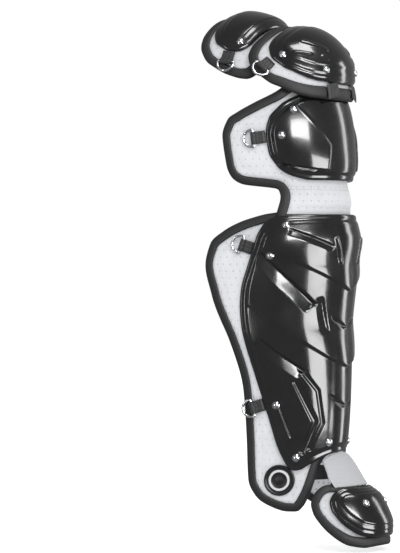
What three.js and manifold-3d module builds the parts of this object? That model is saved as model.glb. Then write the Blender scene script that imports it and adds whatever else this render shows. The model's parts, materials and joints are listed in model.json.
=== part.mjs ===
// A catcher's leg guard for a right leg, at its real size.
//
// Moulded shells are riveted over padded wings whose edges are bound with tape.
// From the top: two thigh guards, a knee guard with a neck, the long shin guard,
// an ankle tongue and a toe guard, joined by webbing, with D-rings for straps.
// Millimetres. +Z runs up the leg, -Y is the front, and the outer side is -X.
// The origin is where the shin rests: the middle of the calf liner's inner face.

import * as THREE from "three";
import { mergeVertices } from "three/addons/utils/BufferGeometryUtils.js";
import Module from "manifold-3d";

const wasm = await Module();
wasm.setup();

// Walls and clearances.
const SHELL_WALL = 3;
const SHELL_STANDOFF = 0.9;
const PAD_THICKNESS = 8;
const RIM_THICKNESS = 2.6;
const BINDING_WIDTH = 9.5;
const BINDING_WALL = 1.2;
const BINDING_GAP = 1.3;
const EDGE_GAP = 0.4;
const SEAT_GAP = 0.4;
const TAPE_SLACK = 0.1;
const RIVET_SEAT = 0.7;
const LINING_GAP = 0.9;
const WEBBING_THICKNESS = 1.6;
const WEBBING_WIDTH = 19;
const SWELL_RUN = 14;

// The leg form: the inner faces of the shin and knee padding lie on it.
const LEG_FORM_LENGTH = 548;
const LEG_FORM_BOTTOM = -233;
const CALF_RADIUS = 78;
const WING_RADIUS = 500;
const FRONT_ARC = THREE.MathUtils.degToRad(72);
const LEG_LEAN = 25;

// Lengths and widths of the pads and shells, along the sheet.
const SHIN_PAD_TOP = 156;
const SHIN_PAD_HEIGHT = 388;
const SHIN_PAD_REACH = 186;
const ARCH_HEIGHT = 78;
const ARCH_REACH = 52;
const SHIN_SHELL_TOP = 150;
const SHIN_SHELL_HEIGHT = 307;
const SHIN_SHELL_REACH = 135;
const SHIN_SHELL_CROWN = 6;
const KNEE_PAD_TOP = 322;
const KNEE_PAD_HEIGHT = 182;
const KNEE_PAD_REACH = 159;
const KNEE_SHELL_TOP = 312;
const KNEE_SHELL_HEIGHT = 119;
const KNEE_SHELL_REACH = 102;
const KNEE_SHELL_CROWN = 6;
const KNEE_SHELL_DROP = 0.3;
const CALF_LINER_TOP = 96;
const CALF_LINER_HEIGHT = 226;
const CALF_LINER_REACH = 84;
const CALF_LINER_THICKNESS = 12;
const THIGH_LOWER_TOP = 64;
const THIGH_LOWER_HEIGHT = 128;
const THIGH_LOWER_REACH = 105;
const THIGH_UPPER_HEM = -40;
const THIGH_UPPER_HEIGHT = 98;
const THIGH_UPPER_REACH = 108;
const THIGH_SHELL_CROWN = 7;
const TOE_PAD_TOP = 18;
const TOE_PAD_HEIGHT = 84;
const TOE_PAD_REACH = 74;
const TOE_SHELL_CROWN = 6;
const TOE_SHELL_LIFT = 0.8;
const SHELL_MARGIN = 24;
const TOE_SHELL_MARGIN = 20;

// Where the thigh and toe forms stand, and how they curve.
const THIGH_LOWER_BACK = -2;
const THIGH_LOWER_RISE = 360;
const THIGH_LOWER_RADIUS = 80;
const THIGH_LOWER_CROWN = 85;
const THIGH_UPPER_BACK = 80;
const THIGH_UPPER_RISE = 392;
const THIGH_UPPER_RADIUS = 79;
const THIGH_UPPER_CROWN = 150;
const TOE_BACK = -56;
const TOE_RISE = -215;
const TOE_RADIUS = 50;
const TOE_CROWN = 250;

// Soft pieces behind the knee and in front of the ankle.
const KNEE_CUSHION_TOP = 300;
const KNEE_CUSHION_HEIGHT = 142;
const KNEE_CUSHION_REACH = 84;
const KNEE_CUSHION_THICKNESS = 12;
const BOLSTER_THICKNESS = 20;
const CUSHION_SPACING = 1.6;
const TONGUE_TOP = 66;
const TONGUE_REACH = 38;
const TONGUE_THICKNESS = 6;
const TONGUE_HEIGHT = TONGUE_TOP - TOE_PAD_TOP + 6;
const ANKLE_STRAP_TOP = -174;
const ANKLE_STRAP_REACH = 48;
const STRAP_OFFSET = 26;
const STRAP_LAP = 20;
const LINK_WIDTH = 40;

// Hardware.
const BADGE_RADIUS = 20;
const BADGE_THICKNESS = 2.5;
const RIVET_RADIUS = 4.2;
const RIVET_HEIGHT = 2.6;
const RING_WIRE = 3.4;
const RING_WIDTH = 26;
const RING_DEPTH = 13;
const RING_CLEARANCE = 0.35;
const TAB_WIDTH = 16;
const TAB_LENGTH = 15;

// How far the knee pad's neck and the shin shell's top rise to lap each other.
const NECK_LIFT = 8.6;
const SHELL_TOP_LIFT = 8.4;

// A value read from a table at a height, with a smooth curve through its rows.
// Rows run from the top down, and up is a share of the height.
function through(rows, key, up) {
  const last = rows.length - 1;
  if (up >= rows[0].up) return rows[0][key];
  if (up <= rows[last].up) return rows[last][key];
  let i = 0;
  while (up < rows[i + 1].up) i += 1;
  const rate = (a, b) => (rows[b][key] - rows[a][key]) / (rows[b].up - rows[a].up);
  const slope = (k) => {
    if (k === 0) return rate(0, 1);
    if (k === last) return rate(last - 1, last);
    const [before, after] = [rate(k - 1, k), rate(k, k + 1)];
    return before * after <= 0 ? 0 : (2 * before * after) / (before + after);
  };
  const run = rows[i + 1].up - rows[i].up;
  const q = (up - rows[i].up) / run;
  const [q2, q3] = [q * q, q * q * q];
  return (
    (2 * q3 - 3 * q2 + 1) * rows[i][key] +
    (q3 - 2 * q2 + q) * run * slope(i) +
    (3 * q2 - 2 * q3) * rows[i + 1][key] +
    (q3 - q2) * run * slope(i + 1)
  );
}

// A form is a sheet bent round the leg. Its section is a front arc that eases into
// flatter wings. A point on it is given by its run across the sheet from the front
// line, its height along the sheet, and its lift outwards from the sheet.
// radius is a share of CALF_RADIUS and front a share of LEG_LEAN.
const LEG_SECTIONS = [
  { up: 1.0, radius: 0.9, front: -0.24 },
  { up: 0.876, radius: 0.97, front: -0.68 },
  { up: 0.772, radius: 0.87, front: -0.84 },
  { up: 0.699, radius: 0.92, front: -0.62 },
  { up: 0.6, radius: 1.0, front: -0.84 },
  { up: 0.425, radius: 0.9, front: -0.52 },
  { up: 0.224, radius: 0.67, front: -0.52 },
  { up: 0.093, radius: 0.59, front: -0.52 },
  { up: 0.0, radius: 0.565, front: -0.48 },
];
const legShare = (height) => (height - LEG_FORM_BOTTOM) / LEG_FORM_LENGTH;
const LEG = {
  tilt: 0,
  y: 0,
  z: 0,
  radius: (height) => CALF_RADIUS * through(LEG_SECTIONS, "radius", legShare(height)),
  front: (height) => LEG_LEAN * through(LEG_SECTIONS, "front", legShare(height)),
};

// The thigh guards and the toe guard lie on forms of their own, leant back. Flare
// is how fast the radius grows up the form.
const domedForm = ({ tilt, y, z, radius, crownRadius, flare = 0 }) => ({
  tilt: THREE.MathUtils.degToRad(tilt),
  y,
  z,
  radius: (height) => radius + flare * height,
  front: (height) => (height * height) / (2 * crownRadius),
});
const THIGH_LOWER = domedForm({
  tilt: 42,
  y: THIGH_LOWER_BACK,
  z: THIGH_LOWER_RISE,
  radius: THIGH_LOWER_RADIUS,
  crownRadius: THIGH_LOWER_CROWN,
});
const THIGH_UPPER = domedForm({
  tilt: 68,
  y: THIGH_UPPER_BACK,
  z: THIGH_UPPER_RISE,
  radius: THIGH_UPPER_RADIUS,
  crownRadius: THIGH_UPPER_CROWN,
  flare: 0.28,
});
const TOE = domedForm({
  tilt: 33,
  y: TOE_BACK,
  z: TOE_RISE,
  radius: TOE_RADIUS,
  crownRadius: TOE_CROWN,
});

function onForm(form, across, height, lift) {
  const radius = form.radius(height);
  const frontRun = radius * FRONT_ARC;
  const run = Math.abs(across);
  const arc = Math.min(run, frontRun) / radius;
  const turn = arc + Math.max(0, run - frontRun) / WING_RADIUS;
  const x =
    radius * Math.sin(arc) +
    WING_RADIUS * (Math.sin(turn) - Math.sin(arc)) +
    lift * Math.sin(turn);
  const depth =
    form.front(height) +
    radius * (1 - Math.cos(arc)) +
    WING_RADIUS * (Math.cos(arc) - Math.cos(turn)) -
    lift * Math.cos(turn);
  const [back, rise] = [Math.cos(form.tilt), Math.sin(form.tilt)];
  return new THREE.Vector3(
    across < 0 ? -x : x,
    form.y + depth * back + height * rise,
    form.z - depth * rise + height * back,
  );
}

// A cut is the outline of a piece on its form: rows from the top down, each with its
// height up as a share of the cut's height, its reach to each side as a share of the
// cut's reach, and droop, how far its ends hang below its middle as a share of height.
// A piece that sits to one side also names the middle of its run across.
const makeCut = (form, top, height, reach, rows, centre = 0) => ({
  form,
  top,
  height,
  reach,
  rows,
  centre,
});

function rowOf(cut, up) {
  return {
    middle: cut.top - cut.height * (1 - up),
    reach: cut.reach * through(cut.rows, "reach", up),
    droop: cut.height * through(cut.rows, "droop", up),
  };
}

const smooth = (q) => {
  const c = Math.min(1, Math.max(0, q));
  return c * c * (3 - 2 * c);
};

// Shares down a cut: a row at each end, one just inside each binding, and even ones.
const RIM_WIDTH = BINDING_WIDTH + BINDING_GAP;
function rowShares(cut, count, extra = []) {
  const rim = Math.min(RIM_WIDTH / cut.height, 0.2);
  const even = Array.from({ length: count }, (_, i) => rim + ((1 - 2 * rim) * i) / (count - 1));
  return [0, ...even, ...extra.map((up) => 1 - up), 1].sort((a, b) => a - b);
}

// Shares across a row. The end columns stand one rim inside the edge, measured
// square to the edge, so they stand further in where the edge slants.
function columnShares(cut, up, count) {
  const step = 0.02;
  const [above, below] = [rowOf(cut, up + step), rowOf(cut, up - step)];
  const slant = (above.reach - below.reach) / (2 * step * cut.height);
  const rim = (RIM_WIDTH * Math.hypot(1, slant)) / rowOf(cut, up).reach;
  const inner = 1 - Math.min(rim, 0.42);
  const even = Array.from({ length: count }, (_, i) => inner * (-1 + (2 * i) / (count - 1)));
  return [-1, ...even, 1];
}

function gridOf(cut, rowCount, columnCount, extraRows, route = (edge) => edge) {
  const grid = rowShares(cut, rowCount, extraRows).map((down) => {
    const up = 1 - down;
    return columnShares(cut, up, columnCount).map((f) => cellAt(cut, up, f));
  });
  const outline = route(edgeOf(grid));
  for (const cell of grid.flat()) cell.edge = distanceTo(outline, cell);
  return grid;
}

// The cell of a cut at a share up its height and a share across, -1 to 1.
function cellAt(cut, up, f) {
  const row = rowOf(cut, up);
  return {
    across: cut.centre + row.reach * f,
    height: row.middle - row.droop * f * f,
    f,
    up,
    edge: Math.min(row.reach * (1 - Math.abs(f)), cut.height * up, cut.height * (1 - up)),
  };
}

// A cell of a grid's own edge, moved outwards on the sheet.
function spread(cell, by) {
  const across = cell.across + (Math.abs(cell.f) === 1 ? by * Math.sign(cell.f) : 0);
  const height = cell.height + (cell.up === 1 ? by : 0) - (cell.up === 0 ? by : 0);
  return { across, height };
}

// The shortest way on the sheet from a cell to an outline.
function distanceTo(outline, cell) {
  let least = Infinity;
  outline.forEach((p, k) => {
    const q = outline[(k + 1) % outline.length];
    const [du, dv] = [q.across - p.across, q.height - p.height];
    const [pu, pv] = [cell.across - p.across, cell.height - p.height];
    const along = Math.min(1, Math.max(0, (pu * du + pv * dv) / (du * du + dv * dv || 1)));
    least = Math.min(least, Math.hypot(pu - along * du, pv - along * dv));
  });
  return least;
}

function geometryOf(triangles) {
  const flat = [];
  for (const t of triangles) for (const p of t) flat.push(p.x, p.y, p.z);
  const geometry = new THREE.BufferGeometry();
  geometry.setAttribute("position", new THREE.Float32BufferAttribute(flat, 3));
  return geometry;
}

// The edge of a grid, walked anticlockwise as seen from outside the leg.
function edgeOf(grid) {
  const last = grid.length - 1;
  const wide = grid[0].length - 1;
  const left = grid.map((row) => row[0]);
  const bottom = grid[last].slice(1);
  const right = grid.slice(0, last).map((row) => row[wide]).reverse();
  const top = grid[0].slice(1, wide).reverse();
  return [...left, ...bottom, ...right, ...top];
}

// Each cell of a grid's edge paired with the cell one rim inside it.
function partnersOf(grid) {
  const partners = new Map();
  const last = grid.length - 1;
  grid.forEach((row, i) => {
    const wide = row.length - 1;
    row.forEach((cell, j) => {
      const inI = Math.min(last - 1, Math.max(1, i));
      const inJ = Math.min(wide - 1, Math.max(1, j));
      if (inI !== i || inJ !== j) partners.set(cell, grid[inI][inJ]);
    });
  });
  return partners;
}

// The two facets of a grid's quad, mirrored about the front line.
function facetsOf(grid, i, j) {
  const [a, b, c, d] = [grid[i][j], grid[i + 1][j], grid[i][j + 1], grid[i + 1][j + 1]];
  return a.f + c.f < 0 ? [[a, b, c], [b, d, c]] : [[a, b, d], [a, d, c]];
}

// A closed slab over a grid, between the lifts that two functions give.
function slab(form, grid, innerLift, outerLift) {
  return slabBetween(grid, (cell) => ({
    inner: onForm(form, cell.across, cell.height, innerLift(cell)),
    outer: onForm(form, cell.across, cell.height, outerLift(cell)),
  }));
}

function slabBetween(grid, facesOf) {
  const inner = new Map();
  const outer = new Map();
  for (const cell of grid.flat()) {
    const faces = facesOf(cell);
    inner.set(cell, faces.inner);
    outer.set(cell, faces.outer);
  }
  const triangles = [];
  for (let i = 0; i < grid.length - 1; i += 1) {
    for (let j = 0; j < grid[i].length - 1; j += 1) {
      for (const [p, q, r] of facetsOf(grid, i, j)) {
        triangles.push([outer.get(p), outer.get(q), outer.get(r)]);
        triangles.push([inner.get(p), inner.get(r), inner.get(q)]);
      }
    }
  }
  const edge = edgeOf(grid);
  edge.forEach((p, k) => {
    const q = edge[(k + 1) % edge.length];
    triangles.push([outer.get(p), inner.get(p), outer.get(q)]);
    triangles.push([outer.get(q), inner.get(p), inner.get(q)]);
  });
  return geometryOf(triangles);
}

// A closed band whose section travels round a closed loop of stations.
function band(stations) {
  const triangles = [];
  stations.forEach((here, k) => {
    const next = stations[(k + 1) % stations.length];
    here.forEach((p, i) => {
      const j = (i + 1) % here.length;
      triangles.push([p, here[j], next[i]], [here[j], next[j], next[i]]);
    });
  });
  return geometryOf(triangles);
}

// A point held to a pad's flat facets: the facet that lies at that run across and
// height is found on the sheet, and its corners' two faces are blended.
function onFacets(grid, faces, across, height) {
  let best = null;
  for (let i = 0; i < grid.length - 1; i += 1) {
    for (let j = 0; j < grid[i].length - 1; j += 1) {
      for (const corners of facetsOf(grid, i, j)) {
        const [p, q, r] = corners;
        const [u1, v1] = [q.across - p.across, q.height - p.height];
        const [u2, v2] = [r.across - p.across, r.height - p.height];
        const [u, v] = [across - p.across, height - p.height];
        const area = u1 * v2 - u2 * v1;
        const wq = (u * v2 - u2 * v) / area;
        const wr = (u1 * v - u * v1) / area;
        const weights = [1 - wq - wr, wq, wr];
        const outside = -Math.min(0, ...weights) * Math.sqrt(Math.abs(area));
        if (!best || outside < best.outside) best = { outside, corners, weights };
      }
    }
  }
  const blend = (key) => {
    const point = new THREE.Vector3();
    best.corners.forEach((cell, k) => point.addScaledVector(faces(cell)[key], best.weights[k]));
    return point;
  };
  const [inner, outer] = [blend("inner"), blend("outer")];
  const [p, q, r] = best.corners.map((cell) => faces(cell).outer);
  const facing = q.clone().sub(p).cross(r.clone().sub(p)).normalize();
  return { inner, outer, outwards: outer.clone().sub(inner).normalize(), facing };
}

// Tape folded over a pad's edge: a U section whose slot holds the pressed rim.
function bindingRound(form, grid, edge, liftAt) {
  const rimInner = (PAD_THICKNESS - RIM_THICKNESS) / 2;
  const slotInner = rimInner - BINDING_GAP;
  const slotOuter = rimInner + RIM_THICKNESS + BINDING_GAP;
  const section = [
    [BINDING_WIDTH, slotOuter + BINDING_WALL],
    [-EDGE_GAP - BINDING_WALL, slotOuter + BINDING_WALL],
    [-EDGE_GAP - BINDING_WALL, slotInner - BINDING_WALL],
    [BINDING_WIDTH, slotInner - BINDING_WALL],
    [BINDING_WIDTH, slotInner],
    [-EDGE_GAP, slotInner],
    [-EDGE_GAP, slotOuter],
    [BINDING_WIDTH, slotOuter],
  ];
  const faces = new Map();
  for (const cell of grid.flat()) {
    faces.set(cell, {
      inner: onForm(form, cell.across, cell.height, rimInner + liftAt(cell)),
      outer: onForm(form, cell.across, cell.height, PAD_THICKNESS - rimInner + liftAt(cell)),
    });
  }
  const rimFaces = (cell) => faces.get(cell);
  const partners = partnersOf(grid);
  const count = edge.length;
  return band(
    edge.map((here, k) => {
      const before = edge[(k + count - 1) % count];
      const after = edge[(k + 1) % count];
      const along = new THREE.Vector2(after.across - before.across, after.height - before.height);
      along.normalize();
      const out = new THREE.Vector2(along.y, -along.x);
      const partner = partners.get(here);
      if (partner) {
        out.set(here.across - partner.across, here.height - partner.height);
        out.divideScalar(RIM_WIDTH);
      }
      return section.map(([inset, lift]) => {
        const across = here.across - out.x * inset;
        const height = here.height - out.y * inset;
        const { inner, outwards } = onFacets(grid, rimFaces, across, height);
        return inner.addScaledVector(outwards, lift - rimInner);
      });
    }),
  );
}

function solidOf(geometry) {
  const merged = mergeVertices(geometry, 1e-3);
  return new wasm.Manifold(
    new wasm.Mesh({
      numProp: 3,
      vertProperties: merged.attributes.position.array,
      triVerts: new Uint32Array(merged.index.array),
    }),
  );
}

// The largest piece of what is left of one solid when another is cut from it.
function cutAway(solid, cutter) {
  const parts = solid.subtract(cutter).decompose();
  return parts.sort((a, b) => b.volume() - a.volume())[0];
}

function geometryFrom(solid) {
  const mesh = solid.getMesh();
  const left = new THREE.BufferGeometry();
  left.setAttribute("position", new THREE.Float32BufferAttribute(mesh.vertProperties, 3));
  left.setIndex(new THREE.Uint32BufferAttribute(mesh.triVerts, 1));
  return left;
}

// Finishes, as a viewer shows them.
const finish = (colour, roughness, metalness = 0) =>
  new THREE.MeshStandardMaterial({ color: colour, roughness, metalness });
const SHELL_FINISH = finish(0x17181a, 0.18);
const MESH_FINISH = finish(0xcfd0d2, 0.85);
const BINDING_FINISH = finish(0x1b1c1e, 0.8);
const LINER_FINISH = finish(0x141416, 0.9);
const GEL_FINISH = finish(0xf07f70, 0.6);
const WEBBING_FINISH = finish(0x232427, 0.8);
const STEEL_FINISH = finish(0xc9ccd0, 0.25, 1);
const BADGE_FINISH = finish(0x1a1a1c, 0.5);

const guard = new THREE.Group();
guard.name = "catcher_leg_guard";

function add(name, geometry, material) {
  const mesh = new THREE.Mesh(geometry, material);
  mesh.name = name;
  guard.add(mesh);
  return mesh;
}

// Padding: full in the middle, pressed thin under the binding.
const fullness = (cell) => smooth((cell.edge - RIM_WIDTH) / SWELL_RUN);
const rimInset = (PAD_THICKNESS - RIM_THICKNESS) / 2;
const padInner = (cell, share = 1) => rimInset * (1 - fullness(cell) * share);
const padOuter = (cell, share = 1) => PAD_THICKNESS - padInner(cell, share);
const flat = () => 0;

function addPad(name, cut, rows, columns, options = {}) {
  const { liftAt = flat, full = () => 1, extraRows = [], cutter, route } = options;
  const grid = gridOf(cut, rows, columns, extraRows, route);
  const facesAt = (slack) => {
    const faces = new Map();
    for (const cell of grid.flat()) {
      const inner = liftAt(cell) + padInner(cell, full(cell)) - slack;
      const outer = liftAt(cell) + padOuter(cell, full(cell)) + slack;
      const { across, height } = spread(cell, slack);
      faces.set(cell, {
        inner: onForm(cut.form, across, height, inner),
        outer: onForm(cut.form, across, height, outer),
      });
    }
    return faces;
  };
  const solidAt = (slack) => {
    const faces = facesAt(slack);
    const solid = solidOf(slabBetween(grid, (cell) => faces.get(cell)));
    return cutter ? cutAway(solid, cutter) : solid;
  };
  add(`${name}_pad`, geometryFrom(solidAt(0)), MESH_FINISH);
  const edge = route ? route(edgeOf(grid)) : edgeOf(grid);
  const tape = cutAway(solidOf(bindingRound(cut.form, grid, edge, liftAt)), solidAt(TAPE_SLACK));
  add(`${name}_binding`, geometryFrom(tape), BINDING_FINISH);
  return { cut, grid, faces: facesAt(0), clear: solidAt(EDGE_GAP) };
}

// A cushion that lines a pad: its outer face holds to the flats of the padding.
function lining(pad, cut, rows, columns, thickness) {
  const grid = gridOf(cut, rows, columns);
  const faces = new Map();
  for (const cell of grid.flat()) {
    const spot = onFacets(pad.grid, (c) => pad.faces.get(c), cell.across, cell.height);
    const outer = spot.inner.clone().addScaledVector(spot.outwards, -LINING_GAP);
    const full = 0.4 + 0.6 * smooth(cell.edge / SWELL_RUN);
    const inner = outer.clone().addScaledVector(spot.outwards, -thickness * full);
    faces.set(cell, { inner, outer });
  }
  return geometryFrom(cutAway(solidOf(slabBetween(grid, (cell) => faces.get(cell))), pad.clear));
}

// A moulded shell: even in wall, crowned over the padding, with raised relief.
function addShell(name, cut, rows, columns, crown, options = {}) {
  const { liftAt = flat, relief = flat, extraRows = [] } = options;
  const grid = gridOf(cut, rows, columns, extraRows);
  const bulge = (cell) => crown * (1 - cell.f ** 4) * (1 - (2 * cell.up - 1) ** 4);
  const inner = (cell) =>
    PAD_THICKNESS + SHELL_STANDOFF + liftAt(cell) + bulge(cell) + relief(cell);
  const facesAt = (below, above) => {
    const faces = new Map();
    for (const cell of grid.flat()) {
      const lift = inner(cell);
      const { across, height } = spread(cell, below);
      faces.set(cell, {
        inner: onForm(cut.form, across, height, lift - below),
        outer: onForm(cut.form, across, height, lift + SHELL_WALL + above),
      });
    }
    return faces;
  };
  const faces = facesAt(0, 0);
  const clearFaces = facesAt(SEAT_GAP, TONGUE_THICKNESS);
  add(`${name}_shell`, slabBetween(grid, (cell) => faces.get(cell)), SHELL_FINISH);
  const clear = solidOf(slabBetween(grid, (cell) => clearFaces.get(cell)));
  return { name, cut, grid, faces, clear };
}

// Shin guard.
const SHIN_PAD = makeCut(LEG, SHIN_PAD_TOP, SHIN_PAD_HEIGHT, SHIN_PAD_REACH, [
  { up: 1.0, reach: 0.6, droop: 0.024 },
  { up: 0.976, reach: 0.72, droop: 0.02 },
  { up: 0.945, reach: 0.84, droop: 0.016 },
  { up: 0.89, reach: 0.96, droop: 0.005 },
  { up: 0.82, reach: 1.0, droop: 0 },
  { up: 0.72, reach: 0.935, droop: 0 },
  { up: 0.56, reach: 0.775, droop: 0 },
  { up: 0.4, reach: 0.67, droop: 0 },
  { up: 0.24, reach: 0.64, droop: 0 },
  { up: 0.1, reach: 0.625, droop: 0 },
  { up: 0.045, reach: 0.565, droop: 0 },
  { up: 0.0, reach: 0.42, droop: 0 },
]);
const SHIN_PAD_BOTTOM = SHIN_PAD_TOP - SHIN_PAD_HEIGHT;

// The arch between the ankle lobes, half of it, from the crown down to the hem.
const ARCH = [
  { across: 0.0, up: 1.0 },
  { across: 0.27, up: 0.96 },
  { across: 0.44, up: 0.87 },
  { across: 0.57, up: 0.72 },
  { across: 0.66, up: 0.5 },
  { across: 0.76, up: 0.28 },
  { across: 0.88, up: 0.1 },
  { across: 1.0, up: 0.0 },
];
const archHalf = ARCH.map((p) => ({
  across: p.across * ARCH_REACH,
  height: SHIN_PAD_BOTTOM + p.up * ARCH_HEIGHT,
  f: 0,
  up: 0,
}));
const archMirrored = archHalf.map((p) => ({ ...p, across: -p.across }));

function archCutter() {
  const below = { across: ARCH_REACH, height: SHIN_PAD_BOTTOM - PAD_THICKNESS };
  const rows = [...archHalf.slice(1), below].map((p) =>
    [-1, -0.5, 0, 0.5, 1].map((f) => ({ across: p.across * f, height: p.height })),
  );
  const crown = archHalf[0];
  const tip = [-1, -0.5, 0, 0.5, 1].map((f) => ({
    across: 0.02 * ARCH_REACH * f,
    height: crown.height,
  }));
  return slab(LEG, [tip, ...rows], () => -2 * PAD_THICKNESS, () => 3 * PAD_THICKNESS);
}

// The binding's route: the pad's own edge, but up and over the arch at the hem.
function edgeWithArch(edge) {
  const onHem = (p) => p.up === 0 && Math.abs(p.across) < ARCH_REACH;
  const firstOnHem = edge.findIndex(onHem);
  const rest = edge.filter((p) => !onHem(p));
  const overArch = [...archMirrored.slice().reverse(), ...archHalf.slice(1)];
  return [...rest.slice(0, firstOnHem), ...overArch, ...rest.slice(firstOnHem)];
}

const archTop = SHIN_PAD_BOTTOM + ARCH_HEIGHT;
const shinPad = addPad("shin", SHIN_PAD, 12, 10, {
  full: (cell) => smooth((cell.height - archTop - RIM_WIDTH) / (2 * SWELL_RUN)),
  cutter: solidOf(archCutter()),
  route: edgeWithArch,
});

const shinShellLift = (cell) =>
  SHELL_TOP_LIFT * smooth((cell.height - 0.55 * SHIN_SHELL_TOP) / (0.3 * SHIN_SHELL_TOP));
const SHIN_SHELL = makeCut(LEG, SHIN_SHELL_TOP, SHIN_SHELL_HEIGHT, SHIN_SHELL_REACH, [
  { up: 1.0, reach: 0.71, droop: 0.014 },
  { up: 0.91, reach: 0.85, droop: 0.01 },
  { up: 0.78, reach: 0.965, droop: 0.005 },
  { up: 0.68, reach: 1.0, droop: 0 },
  { up: 0.52, reach: 0.955, droop: 0 },
  { up: 0.33, reach: 0.81, droop: 0.012 },
  { up: 0.2, reach: 0.68, droop: 0.045 },
  { up: 0.09, reach: 0.57, droop: 0.08 },
  { up: 0.0, reach: 0.43, droop: 0.1 },
]);

// The shin shell's raised centre plate, which narrows towards the ankle.
const SHIN_PLATE_REACH = 40;
const SHIN_PLATE_RISE = 4;
const shinPlate = (cell) =>
  SHIN_PLATE_RISE * smooth((SHIN_PLATE_REACH - Math.abs(cell.across)) / (0.4 * SHIN_PLATE_REACH));
const shinShell = addShell("shin", SHIN_SHELL, 11, 12, SHIN_SHELL_CROWN, {
  liftAt: shinShellLift,
  relief: shinPlate,
});

const CALF_LINER = makeCut(LEG, CALF_LINER_TOP, CALF_LINER_HEIGHT, CALF_LINER_REACH, [
  { up: 1.0, reach: 0.82, droop: -0.03 },
  { up: 0.94, reach: 0.92, droop: -0.02 },
  { up: 0.75, reach: 1.0, droop: 0 },
  { up: 0.4, reach: 0.9, droop: 0 },
  { up: 0.1, reach: 0.72, droop: 0.02 },
  { up: 0.0, reach: 0.56, droop: 0.02 },
]);
add("calf_liner", lining(shinPad, CALF_LINER, 7, 8, CALF_LINER_THICKNESS), LINER_FINISH);

// Knee guard: wings and a neck that runs down between the shin pad and shin shell.
const KNEE_PAD = makeCut(LEG, KNEE_PAD_TOP, KNEE_PAD_HEIGHT, KNEE_PAD_REACH, [
  { up: 1.0, reach: 0.4, droop: 0.02 },
  { up: 0.94, reach: 0.52, droop: 0.035 },
  { up: 0.86, reach: 0.71, droop: 0.03 },
  { up: 0.79, reach: 0.85, droop: 0.02 },
  { up: 0.72, reach: 0.94, droop: 0 },
  { up: 0.6, reach: 1.0, droop: 0 },
  { up: 0.4, reach: 0.98, droop: 0 },
  { up: 0.32, reach: 0.94, droop: 0 },
  { up: 0.275, reach: 0.86, droop: 0 },
  { up: 0.235, reach: 0.55, droop: 0 },
  { up: 0.16, reach: 0.515, droop: 0 },
  { up: 0.0, reach: 0.55, droop: 0 },
]);
const NECK_TOP = KNEE_SHELL_TOP - KNEE_SHELL_HEIGHT - SEAT_GAP;
const NECK_RUN = NECK_TOP - SHIN_PAD_TOP - SWELL_RUN / 2;
const LEDGE_UP = 0.3 + RIM_WIDTH / KNEE_PAD_HEIGHT;
const kneeNeckLift = (cell) => NECK_LIFT * smooth((NECK_TOP - cell.height) / NECK_RUN);
const kneeFull = (cell) =>
  smooth((cell.height - KNEE_PAD_TOP + KNEE_PAD_HEIGHT * (1 - LEDGE_UP)) / SWELL_RUN);
const kneePad = addPad("knee", KNEE_PAD, 7, 10, {
  liftAt: kneeNeckLift,
  full: kneeFull,
  extraRows: [LEDGE_UP, 0.3, 0.27, 0.235],
});

const KNEE_SHELL = makeCut(LEG, KNEE_SHELL_TOP, KNEE_SHELL_HEIGHT, KNEE_SHELL_REACH, [
  { up: 1.0, reach: 0.55, droop: 0.06 },
  { up: 0.87, reach: 0.78, droop: 0.06 },
  { up: 0.7, reach: 0.94, droop: 0.04 },
  { up: 0.48, reach: 1.0, droop: 0 },
  { up: 0.3, reach: 0.98, droop: 0 },
  { up: 0.15, reach: 0.88, droop: 0 },
  { up: 0.06, reach: 0.76, droop: 0 },
  { up: 0.0, reach: 0.62, droop: 0 },
]);
const kneeShell = addShell("knee", KNEE_SHELL, 6, 10, KNEE_SHELL_CROWN, {
  liftAt: () => -KNEE_SHELL_DROP,
});

// The knee's cushions line the knee pad: side bolsters, a top and a lower cushion,
// and a soft insert in the middle. Their places are shares of one cushion field.
const field = (share) => KNEE_CUSHION_TOP - KNEE_CUSHION_HEIGHT * (1 - share);
function addCushion(name, box, thickness, rows, columns, material) {
  const { top, bottom, reach, centre = 0, outline } = box;
  const height = field(top) - field(bottom) - CUSHION_SPACING;
  const run = KNEE_CUSHION_REACH * reach - CUSHION_SPACING / 2;
  const middle = KNEE_CUSHION_REACH * centre;
  const cut = makeCut(LEG, field(top) - CUSHION_SPACING / 2, height, run, outline, middle);
  add(name, lining(kneePad, cut, rows, columns, thickness), material);
}
const SQUARE = [
  { up: 1.0, reach: 0.94, droop: 0 },
  { up: 0.85, reach: 1.0, droop: 0 },
  { up: 0.15, reach: 1.0, droop: 0 },
  { up: 0.0, reach: 0.94, droop: 0 },
];
const BOLSTER = [
  { up: 1.0, reach: 0.6, droop: 0 },
  { up: 0.85, reach: 0.95, droop: 0 },
  { up: 0.5, reach: 1.0, droop: 0 },
  { up: 0.15, reach: 0.9, droop: 0 },
  { up: 0.0, reach: 0.55, droop: 0 },
];
const PENTAGON = [
  { up: 1.0, reach: 0.86, droop: 0 },
  { up: 0.8, reach: 1.0, droop: 0 },
  { up: 0.5, reach: 0.92, droop: 0 },
  { up: 0.0, reach: 0.55, droop: 0 },
];
const TOP_CUSHION = { top: 1.0, bottom: 0.63, reach: 0.56, outline: SQUARE };
const INSERT = { top: 0.63, bottom: 0.29, reach: 0.5, outline: PENTAGON };
const LOWER_CUSHION = { top: 0.29, bottom: 0.05, reach: 0.54, outline: SQUARE };
const SIDE_BOLSTER = { top: 0.92, bottom: 0.22, reach: 0.2, outline: BOLSTER };
addCushion("knee_top_cushion", TOP_CUSHION, KNEE_CUSHION_THICKNESS, 4, 7, LINER_FINISH);
addCushion("knee_insert", INSERT, 0.7 * KNEE_CUSHION_THICKNESS, 4, 6, GEL_FINISH);
addCushion("knee_lower_cushion", LOWER_CUSHION, KNEE_CUSHION_THICKNESS, 3, 7, LINER_FINISH);
const left = { ...SIDE_BOLSTER, centre: -0.79 };
const right = { ...SIDE_BOLSTER, centre: 0.79 };
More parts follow.
